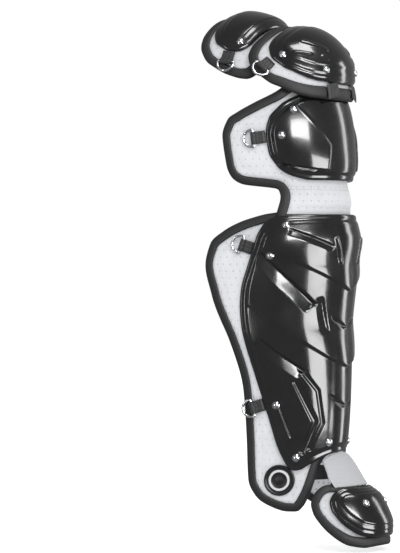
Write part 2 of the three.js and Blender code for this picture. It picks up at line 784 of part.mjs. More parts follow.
addCushion("knee_bolster_left", left, BOLSTER_THICKNESS, 6, 3, LINER_FINISH);
addCushion("knee_bolster_right", right, BOLSTER_THICKNESS, 6, 3, LINER_FINISH);

// Thigh guards. The upper one's front edge passes behind the lower one's top.
const THIGH_LOWER_CUT = [
  { up: 1.0, reach: 0.5, droop: 0.06 },
  { up: 0.93, reach: 0.72, droop: 0.04 },
  { up: 0.82, reach: 0.9, droop: 0.02 },
  { up: 0.64, reach: 1.0, droop: 0 },
  { up: 0.48, reach: 0.97, droop: 0 },
  { up: 0.34, reach: 0.87, droop: 0 },
  { up: 0.18, reach: 0.72, droop: -0.02 },
  { up: 0.07, reach: 0.56, droop: -0.04 },
  { up: 0.0, reach: 0.42, droop: -0.06 },
];
const THIGH_LOWER_PAD = makeCut(
  THIGH_LOWER,
  THIGH_LOWER_TOP,
  THIGH_LOWER_HEIGHT,
  THIGH_LOWER_REACH,
  THIGH_LOWER_CUT,
);
addPad("thigh_lower", THIGH_LOWER_PAD, 5, 8);
const THIGH_LOWER_SHELL = makeCut(
  THIGH_LOWER,
  THIGH_LOWER_TOP - SHELL_MARGIN / 2,
  THIGH_LOWER_HEIGHT - SHELL_MARGIN,
  THIGH_LOWER_REACH - SHELL_MARGIN,
  THIGH_LOWER_CUT,
);
const thighLowerShell = addShell("thigh_lower", THIGH_LOWER_SHELL, 5, 8, THIGH_SHELL_CROWN);

const THIGH_UPPER_CUT = [
  { up: 1.0, reach: 0.42, droop: 0.03 },
  { up: 0.93, reach: 0.68, droop: 0.02 },
  { up: 0.8, reach: 0.87, droop: 0 },
  { up: 0.62, reach: 0.98, droop: 0 },
  { up: 0.42, reach: 1.0, droop: 0 },
  { up: 0.25, reach: 0.97, droop: 0 },
  { up: 0.1, reach: 0.9, droop: 0 },
  { up: 0.0, reach: 0.8, droop: 0 },
];
const THIGH_UPPER_TOP = THIGH_UPPER_HEM + THIGH_UPPER_HEIGHT;
const THIGH_UPPER_PAD = makeCut(
  THIGH_UPPER,
  THIGH_UPPER_TOP,
  THIGH_UPPER_HEIGHT,
  THIGH_UPPER_REACH,
  THIGH_UPPER_CUT,
);
addPad("thigh_upper", THIGH_UPPER_PAD, 4, 8);
const THIGH_UPPER_SHELL = makeCut(
  THIGH_UPPER,
  THIGH_UPPER_TOP - SHELL_MARGIN / 2,
  THIGH_UPPER_HEIGHT - 1.5 * SHELL_MARGIN,
  THIGH_UPPER_REACH - SHELL_MARGIN,
  THIGH_UPPER_CUT,
);
const thighUpperShell = addShell("thigh_upper", THIGH_UPPER_SHELL, 4, 8, THIGH_SHELL_CROWN);

// Toe guard.
const TOE_CUT = [
  { up: 1.0, reach: 0.66, droop: -0.18 },
  { up: 0.9, reach: 0.85, droop: -0.18 },
  { up: 0.8, reach: 0.96, droop: -0.18 },
  { up: 0.62, reach: 1.0, droop: -0.2 },
  { up: 0.42, reach: 0.97, droop: -0.22 },
  { up: 0.22, reach: 0.88, droop: -0.21 },
  { up: 0.08, reach: 0.72, droop: -0.13 },
  { up: 0.0, reach: 0.51, droop: -0.06 },
];
const TOE_PAD = makeCut(TOE, TOE_PAD_TOP, TOE_PAD_HEIGHT, TOE_PAD_REACH, TOE_CUT);
const toePad = addPad("toe", TOE_PAD, 4, 7, { full: () => 0.6 });
const TOE_SHELL = makeCut(
  TOE,
  TOE_PAD_TOP - TOE_SHELL_MARGIN / 2,
  TOE_PAD_HEIGHT - 0.8 * TOE_SHELL_MARGIN,
  TOE_PAD_REACH - TOE_SHELL_MARGIN,
  TOE_CUT,
);
const toeShell = addShell("toe", TOE_SHELL, 4, 7, TOE_SHELL_CROWN, {
  liftAt: () => TOE_SHELL_LIFT,
});

// Ankle tongue: it runs from behind the shin shell's hem to the toe shell's edge.
const TONGUE = makeCut(TOE, TONGUE_TOP, TONGUE_HEIGHT, TONGUE_REACH, [
  { up: 1.0, reach: 0.8, droop: 0.1 },
  { up: 0.6, reach: 0.92, droop: 0 },
  { up: 0.3, reach: 1.0, droop: -0.1 },
  { up: 0.0, reach: 1.0, droop: -0.16 },
]);
const tongueInner = () => PAD_THICKNESS + 2 * SEAT_GAP;
const tongueOuter = (cell) => tongueInner() + TONGUE_THICKNESS * (0.5 + 0.6 * smooth(cell.up));
const tongueGrid = gridOf(TONGUE, 4, 5);
let tongue = solidOf(slab(TOE, tongueGrid, tongueInner, tongueOuter));
for (const piece of [shinShell.clear, toeShell.clear, toePad.clear, shinPad.clear]) {
  tongue = cutAway(tongue, piece);
}
add("ankle_tongue", geometryFrom(tongue), MESH_FINISH);

// Webbing laid along a route of stations, each at a height and lift on a form.
function strap(name, route, centre, width) {
  const columns = [-0.5, 0, 0.5].map((f) => centre + f * width);
  const cells = route.map(([form, height, lift]) =>
    columns.map((across) => ({ place: onForm(form, across, height, lift) })),
  );
  const last = cells.length - 1;
  cells.forEach((row, i) => {
    const [before, after] = [cells[Math.max(0, i - 1)], cells[Math.min(last, i + 1)]];
    row.forEach((cell, j) => {
      const [low, high] = [Math.max(0, j - 1), Math.min(2, j + 1)];
      const down = after[j].place.clone().sub(before[j].place);
      const sideways = row[high].place.clone().sub(row[low].place);
      cell.out = down.cross(sideways).normalize().multiplyScalar(WEBBING_THICKNESS / 2);
    });
  });
  const faces = (cell) => ({
    inner: cell.place.clone().sub(cell.out),
    outer: cell.place.clone().add(cell.out),
  });
  add(name, slabBetween(cells, faces), WEBBING_FINISH);
}

// Straps run down behind the lower thigh pad and into the knee pad's inner face.
const behind = -LINING_GAP - WEBBING_THICKNESS / 2;
const kneeStrapRoute = [
  [THIGH_LOWER, 0, 2 * behind],
  [THIGH_LOWER, -STRAP_LAP / 2, 2 * behind],
  [THIGH_LOWER, -STRAP_LAP, 2 * behind],
  [LEG, KNEE_PAD_TOP + WEBBING_THICKNESS * 2, behind],
  [LEG, KNEE_PAD_TOP - STRAP_LAP / 2, 1.2 * behind],
  [LEG, KNEE_CUSHION_TOP + SEAT_GAP, 1.2 * behind],
];
strap("knee_strap_left", kneeStrapRoute, -STRAP_OFFSET, WEBBING_WIDTH);
strap("knee_strap_right", kneeStrapRoute, STRAP_OFFSET, WEBBING_WIDTH);

// The link behind the two thigh pads.
const thighLinkRoute = [
  [THIGH_LOWER, 0.3 * THIGH_LOWER_TOP, 1.6 * behind],
  [THIGH_LOWER, 0.55 * THIGH_LOWER_TOP, 1.6 * behind],
  [THIGH_UPPER, THIGH_UPPER_HEM - 2 * BINDING_GAP, 2 * behind],
  [THIGH_UPPER, THIGH_UPPER_HEM + STRAP_LAP / 2, behind],
  [THIGH_UPPER, THIGH_UPPER_HEM + STRAP_LAP, behind],
];
strap("thigh_link", thighLinkRoute, 0, LINK_WIDTH);

// Webbing tabs at the front, from the lower thigh shell's hem over the binding.
const tabLift = PAD_THICKNESS + 2 * SEAT_GAP + WEBBING_THICKNESS / 2;
const thighShellHem = THIGH_LOWER_SHELL.top - THIGH_LOWER_SHELL.height;
const thighPadHem = THIGH_LOWER_TOP - THIGH_LOWER_HEIGHT;
const frontTabRoute = [
  [THIGH_LOWER, thighShellHem - 2 * SEAT_GAP, tabLift],
  [THIGH_LOWER, (thighShellHem + thighPadHem) / 2, tabLift],
  [THIGH_LOWER, thighPadHem - EDGE_GAP, tabLift],
];
strap("thigh_tab_left", frontTabRoute, -STRAP_OFFSET, WEBBING_WIDTH);
strap("thigh_tab_right", frontTabRoute, STRAP_OFFSET, WEBBING_WIDTH);

// A strap bridges the arch behind the ankle, against the two lobes.
const ANKLE_STRAP = makeCut(LEG, ANKLE_STRAP_TOP, WEBBING_WIDTH, ANKLE_STRAP_REACH, SQUARE);
const ankleStrapGrid = [1, 0.5, 0].map((up) =>
  [-1, -0.75, -0.5, -0.25, 0, 0.25, 0.5, 0.75, 1].map((f) => cellAt(ANKLE_STRAP, up, f)),
);
const strapOuter = () => -BINDING_WALL - BINDING_GAP;
const strapInner = () => strapOuter() - WEBBING_THICKNESS;
add("ankle_strap", slab(LEG, ankleStrapGrid, strapInner, strapOuter), WEBBING_FINISH);

// A round moulded badge on the outer ankle lobe.
const BADGE_SPOT = { across: -0.41 * SHIN_PAD_REACH, height: SHIN_PAD_BOTTOM + 0.1 * SHIN_PAD_HEIGHT };
const BADGE_SIDES = 18;
function badge() {
  const at = (share, k) => {
    const angle = (2 * Math.PI * k) / BADGE_SIDES;
    const across = BADGE_SPOT.across + share * BADGE_RADIUS * Math.cos(angle);
    const height = BADGE_SPOT.height + share * BADGE_RADIUS * Math.sin(angle);
    const spot = onFacets(shinPad.grid, (c) => shinPad.faces.get(c), across, height);
    const inner = spot.outer.clone().addScaledVector(spot.outwards, SEAT_GAP);
    return { inner, outer: inner.clone().addScaledVector(spot.outwards, BADGE_THICKNESS) };
  };
  const hub = at(0, 0);
  const ring = Array.from({ length: BADGE_SIDES }, (_, k) => at(1, k));
  const triangles = [];
  ring.forEach((p, k) => {
    const q = ring[(k + 1) % BADGE_SIDES];
    triangles.push([hub.outer, p.outer, q.outer], [hub.inner, q.inner, p.inner]);
    triangles.push([p.outer, p.inner, q.outer], [q.outer, p.inner, q.inner]);
  });
  return geometryOf(triangles);
}
add("ankle_badge", geometryFrom(cutAway(solidOf(badge()), shinPad.clear)), BADGE_FINISH);

// Rivets stand on the shells' facets.
const rivetProfile = [
  new THREE.Vector2(0, 0),
  new THREE.Vector2(RIVET_RADIUS, 0),
  new THREE.Vector2(0.62 * RIVET_RADIUS, RIVET_HEIGHT),
  new THREE.Vector2(0, RIVET_HEIGHT),
];
const stand = (mesh, place, x, y, z) => {
  mesh.position.copy(place);
  mesh.setRotationFromMatrix(new THREE.Matrix4().makeBasis(x, y, z));
};
function addRivets(shell, label, up, f) {
  for (const [side, sign] of [["left", -1], ["right", 1]]) {
    const cell = cellAt(shell.cut, up, sign * f);
    const spot = onFacets(shell.grid, (c) => shell.faces.get(c), cell.across, cell.height);
    const geometry = new THREE.LatheGeometry(rivetProfile, 8);
    const mesh = add(`rivet_${shell.name}_${label}${side}`, geometry, STEEL_FINISH);
    const x = new THREE.Vector3(0, 0, 1).cross(spot.facing).normalize();
    const z = x.clone().cross(spot.facing);
    stand(mesh, spot.outer.addScaledVector(spot.facing, RIVET_SEAT), x, spot.facing, z);
  }
}
addRivets(shinShell, "top_", 0.96, 0.74);
addRivets(shinShell, "upper_", 0.83, 0.79);
addRivets(shinShell, "lower_", 0.225, 0.84);
addRivets(shinShell, "hem_", 0.04, 0.82);
addRivets(kneeShell, "", 0.48, 0.81);
addRivets(thighLowerShell, "side_", 0.6, 0.86);
addRivets(thighLowerShell, "hem_", 0.17, 0.6);
addRivets(thighUpperShell, "", 0.2, 0.84);
addRivets(toeShell, "", 0.64, 0.37);

// D-rings: each swings on its straight bar in the eye of a folded webbing tab that
// comes out from under a shell's edge.
const EYE_HOLE = RING_WIRE / 2 + RING_CLEARANCE;
const EYE_RADIUS = EYE_HOLE + WEBBING_THICKNESS;
function tabShape() {
  const tail = -TAB_LENGTH / 2;
  const eye = TAB_LENGTH / 2;
  const rise = Math.asin((EYE_RADIUS - WEBBING_THICKNESS) / EYE_RADIUS);
  const shape = new THREE.Shape();
  shape.moveTo(tail, 0);
  shape.lineTo(eye, 0);
  const steps = 8;
  for (let i = 1; i <= steps; i += 1) {
    const angle = -Math.PI / 2 + ((1.5 * Math.PI + rise) * i) / steps;
    shape.lineTo(eye + EYE_RADIUS * Math.cos(angle), EYE_RADIUS * (1 + Math.sin(angle)));
  }
  shape.lineTo(tail, WEBBING_THICKNESS);
  shape.closePath();
  const hole = new THREE.Path();
  for (let i = 0; i < steps; i += 1) {
    const angle = (-2 * Math.PI * i) / steps;
    const point = [eye + EYE_HOLE * Math.cos(angle), EYE_RADIUS + EYE_HOLE * Math.sin(angle)];
    if (i === 0) hole.moveTo(...point);
    else hole.lineTo(...point);
  }
  hole.closePath();
  shape.holes.push(hole);
  return shape;
}

// The ring's centre line in its own plane, as shares of its depth and half width.
const RING_PATH = [
  { out: 0, side: -0.74 },
  { out: 0, side: 0.74 },
  { out: 0.08, side: 0.96 },
  { out: 0.42, side: 0.92 },
  { out: 0.78, side: 0.66 },
  { out: 0.98, side: 0.26 },
  { out: 0.98, side: -0.26 },
  { out: 0.78, side: -0.66 },
  { out: 0.42, side: -0.92 },
  { out: 0.08, side: -0.96 },
];
function ringGeometry() {
  const path = RING_PATH.map(
    (p) => new THREE.Vector2(p.out * RING_DEPTH, (p.side * (RING_WIDTH - RING_WIRE)) / 2),
  );
  const count = path.length;
  const stations = path.map((here, k) => {
    const into = here.clone().sub(path[(k + count - 1) % count]).normalize();
    const onto = path[(k + 1) % count].clone().sub(here).normalize();
    const mitre = into.clone().add(onto).normalize();
    const stretch = 1 / Math.max(0.5, into.dot(mitre));
    return Array.from({ length: 6 }, (_, i) => {
      const angle = (Math.PI * i) / 3;
      const wide = (RING_WIRE / 2) * Math.cos(angle) * stretch;
      const high = (RING_WIRE / 2) * Math.sin(angle);
      return new THREE.Vector3(here.x + mitre.y * wide, high, here.y - mitre.x * wide);
    });
  });
  return band(stations);
}

function addRing(name, shell, up, side) {
  const edge = (share) => {
    const cell = cellAt(shell.cut, share, side);
    return onForm(shell.cut.form, cell.across, cell.height, PAD_THICKNESS + SEAT_GAP);
  };
  const step = 0.03;
  const along = edge(up + step).sub(edge(up - step)).normalize();
  const cell = cellAt(shell.cut, up, side);
  const seat = PAD_THICKNESS + 1.5 * SEAT_GAP;
  const seatAt = (lift, shift) => {
    const across = cell.across + side * shift;
    return onForm(shell.cut.form, across, cell.height, lift);
  };
  const reach = 2 * SEAT_GAP + TAB_LENGTH / 2;
  const base = seatAt(seat, reach);
  const out = seatAt(seat + 1, reach).sub(base).normalize();
  const away = along.clone().cross(out).multiplyScalar(side).normalize();
  const axis = away.clone().cross(out);
  const tab = new THREE.ExtrudeGeometry(tabShape(), { depth: TAB_WIDTH, bevelEnabled: false });
  tab.translate(0, 0, -TAB_WIDTH / 2);
  stand(add(`${name}_tab`, tab, WEBBING_FINISH), base, away, out, axis);
  const bar = base.clone().addScaledVector(away, TAB_LENGTH / 2).addScaledVector(out, EYE_RADIUS);
  stand(add(`${name}_ring`, ringGeometry(), STEEL_FINISH), bar, away, out, axis);
}
addRing("thigh_upper", thighUpperShell, 0.27, -1);
addRing("thigh_lower", thighLowerShell, 0.64, -1);
addRing("knee", kneeShell, 0.46, -1);
addRing("shin_upper", shinShell, 0.87, -1);
addRing("ankle_left", shinShell, 0.23, -1);
addRing("ankle_right", shinShell, 0.23, 1);

export default guard;
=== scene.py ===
# %% [markdown]
# A catcher's leg guard, for a right leg, seen as it is worn.
# Glossy moulded shells are riveted over padded wings, and black tape binds every
# edge. The construction is already modelled and packed, and this lesson makes its
# surfaces: soft pads, folded tape, ribbed shells, webbing, rings and rivets.
# The guard stands upright, +Z runs up the leg, and the front faces -Y.

# %% Load the construction
import json
import math

import bmesh
import bpy
import numpy as np
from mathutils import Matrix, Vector


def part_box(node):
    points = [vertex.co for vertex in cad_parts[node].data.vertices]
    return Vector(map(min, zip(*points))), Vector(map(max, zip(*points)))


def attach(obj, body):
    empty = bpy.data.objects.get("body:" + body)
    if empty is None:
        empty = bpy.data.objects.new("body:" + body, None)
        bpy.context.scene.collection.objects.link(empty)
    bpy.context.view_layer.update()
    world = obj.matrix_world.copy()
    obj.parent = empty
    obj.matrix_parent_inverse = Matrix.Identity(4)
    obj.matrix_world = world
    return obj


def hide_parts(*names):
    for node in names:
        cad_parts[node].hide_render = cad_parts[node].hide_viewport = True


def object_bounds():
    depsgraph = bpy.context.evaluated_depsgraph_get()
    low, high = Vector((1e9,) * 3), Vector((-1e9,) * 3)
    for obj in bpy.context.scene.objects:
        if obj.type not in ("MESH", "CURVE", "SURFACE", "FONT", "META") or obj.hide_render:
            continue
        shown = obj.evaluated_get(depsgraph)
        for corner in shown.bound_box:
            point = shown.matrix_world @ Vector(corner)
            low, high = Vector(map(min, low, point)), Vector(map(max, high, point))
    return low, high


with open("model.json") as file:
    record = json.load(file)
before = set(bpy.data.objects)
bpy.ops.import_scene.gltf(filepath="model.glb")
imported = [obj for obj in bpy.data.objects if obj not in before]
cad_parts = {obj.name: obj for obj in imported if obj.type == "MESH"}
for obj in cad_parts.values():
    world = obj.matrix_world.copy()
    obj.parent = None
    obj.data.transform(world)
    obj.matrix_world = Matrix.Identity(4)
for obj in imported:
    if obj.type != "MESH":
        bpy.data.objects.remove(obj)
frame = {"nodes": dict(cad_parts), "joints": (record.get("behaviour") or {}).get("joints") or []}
cad_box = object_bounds()
MM = 0.001
print("pieces in the construction:", len(frame["nodes"]))

# %% [markdown]
# Every pad and shell is a sheet bent round the leg, so one way of working makes
# them all. Each could be sculpted by itself, but then pad, tape, shell and rivet
# wouldn't meet. A place on the sheet is its run across from the front line, its
# height along the sheet and its lift outwards. A few sections, read as a smooth
# curve, say how round the leg is at each height.

# %% The leg as a bent sheet
LEG_FORM_LENGTH = 548
LEG_FORM_BOTTOM = -233
CALF_RADIUS = 78
WING_RADIUS = 500
FRONT_ARC = math.radians(72)
LEG_LEAN = 25
# Columns: up the form, radius as a share of the calf, front as a share of the lean.
LEG_SECTIONS = [
    (1.0, 0.9, -0.24),
    (0.876, 0.97, -0.68),
    (0.772, 0.87, -0.84),
    (0.699, 0.92, -0.62),
    (0.6, 1.0, -0.84),
    (0.425, 0.9, -0.52),
    (0.224, 0.67, -0.52),
    (0.093, 0.59, -0.52),
    (0.0, 0.565, -0.48),
]
print("leg form:", LEG_FORM_LENGTH, "mm long,", len(LEG_SECTIONS), "sections")

# %% Smooth curves through a table
def smooth(q):
    c = np.clip(q, 0, 1)
    return c * c * (3 - 2 * c)


def curve(rows, column):
    """A smooth monotone curve through one column of a table, as a function of up."""
    table = sorted((row[0], row[column]) for row in rows)
    ups = np.array([p[0] for p in table])
    values = np.array([p[1] for p in table])
    rates = np.diff(values) / np.diff(ups)
    slopes = np.concatenate([rates[:1], np.zeros(len(rates) - 1), rates[-1:]])
    for k in range(1, len(rates)):
        before, after = rates[k - 1], rates[k]
        if before * after > 0:
            slopes[k] = 2 * before * after / (before + after)

    def value(up):
        up = np.clip(up, ups[0], ups[-1])
        k = np.clip(np.searchsorted(ups, up) - 1, 0, len(ups) - 2)
        run = ups[k + 1] - ups[k]
        q = (up - ups[k]) / run
        ends = (2 * q**3 - 3 * q**2 + 1) * values[k] + (3 * q**2 - 2 * q**3) * values[k + 1]
        bends = (q**3 - 2 * q**2 + q) * run * slopes[k] + (q**3 - q**2) * run * slopes[k + 1]
        return ends + bends

    return value


print("a quarter along a smooth step:", smooth(0.25))

# %% The four forms
leg_radius = curve(LEG_SECTIONS, 1)
leg_front = curve(LEG_SECTIONS, 2)


def leg_share(height):
    return (height - LEG_FORM_BOTTOM) / LEG_FORM_LENGTH


def form(tilt, y, z, radius, front):
    return {"tilt": math.radians(tilt), "y": y, "z": z, "radius": radius, "front": front}


def domed(tilt, y, z, radius, crown, flare=0.0):
    return form(tilt, y, z, lambda h: radius + flare * h, lambda h: h * h / (2 * crown))


LEG = form(
    0,
    0,
    0,
    lambda h: CALF_RADIUS * leg_radius(leg_share(h)),
    lambda h: LEG_LEAN * leg_front(leg_share(h)),
)
THIGH_LOWER = domed(42, -2, 360, 80, 85)
THIGH_UPPER = domed(68, 80, 392, 79, 150, 0.28)
TOE = domed(33, -56, -215, 50, 250)

print("forms: the leg, two thigh guards and the toe guard")

# %% Places on a form
def on_form(shape, across, height, lift):
    """Places on a form, in metres, one row of three numbers for each."""
    across, height, lift = np.broadcast_arrays(
        np.asarray(across, float), np.asarray(height, float), np.asarray(lift, float)
    )
    radius = shape["radius"](height)
    run = np.abs(across)
    arc = np.minimum(run, radius * FRONT_ARC) / radius
    turn = arc + np.maximum(0, run - radius * FRONT_ARC) / WING_RADIUS
    wing = WING_RADIUS * (np.sin(turn) - np.sin(arc))
    x = np.sign(across) * (radius * np.sin(arc) + wing + lift * np.sin(turn))
    bow = WING_RADIUS * (np.cos(arc) - np.cos(turn))
    depth = shape["front"](height) + radius * (1 - np.cos(arc)) + bow - lift * np.cos(turn)
    back, rise = math.cos(shape["tilt"]), math.sin(shape["tilt"])
    y = shape["y"] + depth * back + height * rise
    z = shape["z"] - depth * rise + height * back
    return np.stack([x, y, z], axis=-1) * MM


print("the knee's front, in metres:", on_form(LEG, 0, 250, 0).round(4))

# %% [markdown]
# A cut is the outline of one piece on the sheet. Its table gives the reach to each
# side and the droop of the ends, from the top down, and its corners are rounded
# with a compass, as a pattern cutter would round them.

# %% Cuts and their outlines
def make_cut(shape, top, height, reach, rows, corner=12.0, centre=0.0):
    return {
        "form": shape,
        "top": top,
        "height": height,
        "reach": lambda up: reach * curve(rows, 1)(up),
        "droop": lambda up: height * curve(rows, 2)(up),
        "corner": corner,
        "centre": centre,
    }


def reach_at(cut, down, inset=0.0):
    """The reach at a distance below the top, with the corners rounded."""
    full = cut["reach"](1 - down / cut["height"])
    radius = cut["corner"]
    for gap in (down - inset, cut["height"] - inset - down):
        short = np.clip(radius - gap, 0, radius)
        full = full - (radius - np.sqrt(radius**2 - short**2))
    return np.maximum(full - inset, 1.0)


def cell_at(cut, down, run):
    """Run across and height of the cell at a distance down and a run from the middle."""
    up = 1 - down / cut["height"]
    f = run / cut["reach"](up)
    return cut["centre"] + run, cut["top"] - down - cut["droop"](up) * f * f


def downs_of(cut, count, inset=0.0, steps=(0, 0.4, 1.0, 1.8)):
    """Distances down a cut: close together at its two ends, and then even."""
    radius = cut["corner"]
    turn = [inset + radius * (1 - math.cos(a)) for a in np.linspace(0, math.pi / 2, 9)]
    near = sorted({round(inset + s, 3) for s in steps} | {round(t, 3) for t in turn})
    near = [d for d in near if d < cut["height"] / 2]
    even = np.linspace(near[-1], cut["height"] - near[-1], count + 2)[1:-1]
    return np.array(near + list(even) + [cut["height"] - d for d in reversed(near)])


sample_cut = make_cut(LEG, 50, 100, 40, [(1.0, 1.0, 0), (0.0, 1.0, 0)])
print("a sample cut's reach, top and middle:", reach_at(sample_cut, np.array([0.0, 50.0])))

# %% Outlines, evenly spaced
OUTLINE_SPACING = 3.0


def outline_of(cut, spacing=OUTLINE_SPACING, soften=2.0, hem=None):
    """The closed edge of a cut, anticlockwise from outside, evenly spaced."""
    downs = downs_of(cut, 120)
    reach = reach_at(cut, downs)
    left = np.stack(cell_at(cut, downs, -reach), axis=-1)
    right = np.stack(cell_at(cut, downs, reach), axis=-1)[::-1]
    share = np.linspace(-1, 1, 61)[1:-1]
    bottom = np.stack(cell_at(cut, cut["height"], share * reach[-1]), axis=-1)
    if hem is not None:
        bottom = hem
    top = np.stack(cell_at(cut, 0.0, -share * reach[0]), axis=-1)
    loop = np.concatenate([left, bottom, right, top])
    return even_loop(loop, spacing, soften)


def even_loop(loop, spacing, soften):
    closed = np.vstack([loop, loop[:1]])
    runs = np.concatenate([[0], np.cumsum(np.linalg.norm(np.diff(closed, axis=0), axis=1))])
    count = int(runs[-1] / spacing)
    stations = np.linspace(0, runs[-1], count, endpoint=False)
    even = np.stack([np.interp(stations, runs, closed[:, k]) for k in (0, 1)], axis=-1)
    return blur(even, soften / spacing)


def blur(values, sigma):
    """A soft average round a closed loop."""
    reach = int(3 * sigma) + 1
    weights = np.exp(-0.5 * (np.arange(-reach, reach + 1) / max(sigma, 0.01)) ** 2)
    total = sum(w * np.roll(values, k - reach, axis=0) for k, w in enumerate(weights))
    return total / weights.sum()


sample_outline = outline_of(sample_cut)
print("its outline:", len(sample_outline), "points")

# %% How far each cell lies from a line
def distance_to(line, across, height, closed=True):
    """The shortest way on the sheet from each cell to a line of points."""
    starts = np.asarray(line, float)
    ends = np.roll(starts, -1, axis=0)
    if not closed:
        starts, ends = starts[:-1], ends[:-1]
    cells = np.stack([np.ravel(across), np.ravel(height)], axis=-1)
    least = np.full(len(cells), np.inf)
    for p, q in zip(starts, ends):
        way = q - p
        share = np.clip(((cells - p) @ way) / max(way @ way, 1e-9), 0, 1)
        least = np.minimum(least, np.linalg.norm(cells - p - share[:, None] * way, axis=1))
    return least.reshape(np.shape(across))


print("its middle to its edge:", distance_to(sample_outline, 0.0, 0.0).round(1), "mm")

# %% [markdown]
# A sheet of cells becomes a closed solid: one skin outside, one inside and a wall
# round every open edge. A Solidify modifier could thicken it, but the two skins have
# relief of their own. The run across and the height go into a UV map in metres, so a
# weave or a row of holes follows the cloth and keeps its real size.

# %% Closed solids from a sheet
def write_sheet_uvs(mesh, uvs):
    """Gives each corner of each face the UV of its point."""
    layer = mesh.uv_layers.new(name="Sheet")
    corners = np.zeros(len(mesh.loops), int)
    mesh.loops.foreach_get("vertex_index", corners)
    layer.data.foreach_set("uv", np.asarray(uvs, np.float32)[corners].ravel())


def make_mesh(name, points, faces, uvs=None):
    mesh = bpy.data.meshes.new(name)
    mesh.from_pydata([tuple(p) for p in points], [], [tuple(f) for f in faces])
    if uvs is not None:
        write_sheet_uvs(mesh, uvs)
    mesh.polygons.foreach_set("use_smooth", [True] * len(mesh.polygons))
    obj = bpy.data.objects.new(name, mesh)
    bpy.context.scene.collection.objects.link(obj)
    return obj


def closed_sheet(name, shape, across, height, inner, outer, quads):
    """Two skins over the same cells, joined by a wall round each open edge.

    The faces are the outer skin, then the inner skin, then the wall.
    """
    across, height, inner, outer = (np.ravel(v) for v in (across, height, inner, outer))
    count = len(across)
    skins = [on_form(shape, across, height, outer), on_form(shape, across, height, inner)]
    open_edges = {}
    for quad in quads:
        for k, a in enumerate(quad):
            b = quad[(k + 1) % len(quad)]
            if (b, a) in open_edges:
                del open_edges[(b, a)]
            else:
                open_edges[(a, b)] = True
    walls = [(b, a, a + count, b + count) for a, b in open_edges]
    faces = list(quads) + [tuple(v + count for v in reversed(q)) for q in quads] + walls
    uvs = np.tile(np.stack([across, height], axis=-1) * MM, (2, 1))
    return make_mesh(name, np.vstack(skins), faces, uvs)

# %% Grids of cells
def grid_quads(rows, columns, first=0):
    """Quads over a grid whose rows run down and whose columns run to the right."""
    corners = [first + i * columns + j for i in range(rows - 1) for j in range(columns - 1)]
    return [(c, c + columns, c + columns + 1, c + 1) for c in corners]


def tube_quads(count, sides):
    """Quads round a closed tube of rings, with the given number of points in each."""
    faces = []
    for i in range(count):
        j = (i + 1) % count
        for k in range(sides):
            m = (k + 1) % sides
            faces.append((i * sides + k, i * sides + m, j * sides + m, j * sides + k))
    return faces


def cells_of(cut, rows, columns, inset=0.0, steps=(0, 0.4, 1.0, 1.8)):
    """A grid of cells over a cut, close together near its edges."""
    downs = downs_of(cut, rows, inset, steps)
    reach = reach_at(cut, downs, inset)
    near = np.array(steps)
    inside = reach[:, None] - near[-1]
    share = np.linspace(-1, 1, columns)[None, :]
    runs = np.hstack([
        -reach[:, None] + near[None, :-1],
        inside * share,
        reach[:, None] - near[None, -2::-1],
    ])
    across, height = cell_at(cut, downs[:, None], runs)
    return np.broadcast_to(across, runs.shape), height, runs, downs


print("a grid of 3 rows and 4 columns:", len(grid_quads(3, 4)), "quads")

# %% [markdown]
# Materials come next. Each begins with what the real one is. Colours are sRGB hex
# values, and one function turns them to the linear values that the shader needs.
# One small function adds a node with its settings and its links.

# %% Material helpers
def linear(code, alpha=1.0):
    parts = [int(code[i : i + 2], 16) / 255 for i in (1, 3, 5)]
    return [c / 12.92 if c < 0.04045 else ((c + 0.055) / 1.055) ** 2.4 for c in parts] + [alpha]


def add_node(tree, kind, settings=None, inputs=None, out=None):
    """Adds a node and gives it back, or one of its outputs.

    An input is a value, or a socket that it is linked from.
    """
    node = tree.nodes.new(kind)
    for key, value in (settings or {}).items():
        setattr(node, key, value)
    for key, value in (inputs or {}).items():
        socket = node.inputs[key]
        if isinstance(value, bpy.types.NodeSocket):
            tree.links.new(value, socket)
        else:
            socket.default_value = value
    return node.outputs[out] if out else node


def new_material(name, colour, roughness, metallic=0.0):
    """A material, its node tree and its shader node."""
    material = bpy.data.materials.new(name)
    material.use_nodes = True
    shader = material.node_tree.nodes["Principled BSDF"]
    shader.inputs["Base Color"].default_value = linear(colour)
    shader.inputs["Roughness"].default_value = roughness
    shader.inputs["Metallic"].default_value = metallic
    return material, material.node_tree, shader


print("mid grey in linear light:", round(linear("#808080")[0], 3))

# %% [markdown]
# The shells are moulded from black ABS with a high gloss. The eye sees dark, clean
# reflections with a faint waviness and a little haze. One roughness for all of it
# would look like glass, so roughness and colour change slightly over the surface,
# and a very low bump bends the reflections.

# %% Moulded gloss ABS
HAZE_MM = 45
TINT_MM = 30
WAVE_MM = 18
WAVE_DEPTH = 0.00012
gloss_abs, tree, shader = new_material("gloss_abs", "#101012", 0.12)
shader.inputs["Coat Weight"].default_value = 0.35
shader.inputs["Coat Roughness"].default_value = 0.05
place = add_node(tree, "ShaderNodeTexCoord", out="Object")
haze, tint, wave = (
    add_node(
        tree,
        "ShaderNodeTexNoise",
        inputs={"Vector": place, "Scale": 1 / (size * MM), "Detail": detail, "Roughness": 0.5},
        out="Fac",
    )
    for size, detail in ((HAZE_MM, 4), (TINT_MM, 3), (WAVE_MM, 1))
)
rough = add_node(
    tree,
    "ShaderNodeMapRange",
    inputs={"Value": haze, "From Min": 0.35, "From Max": 0.7, "To Min": 0.14, "To Max": 0.26},
    out="Result",
)
tree.links.new(rough, shader.inputs["Roughness"])
share = add_node(
    tree,
    "ShaderNodeMapRange",
    inputs={"Value": tint, "From Min": 0.3, "From Max": 0.75, "To Min": 0.0, "To Max": 1.0},
    out="Result",
)
black = add_node(
    tree,
    "ShaderNodeMix",
    {"data_type": "RGBA"},
    {"Factor": share, "A": linear("#0d0d0f"), "B": linear("#151517")},
    "Result",
)
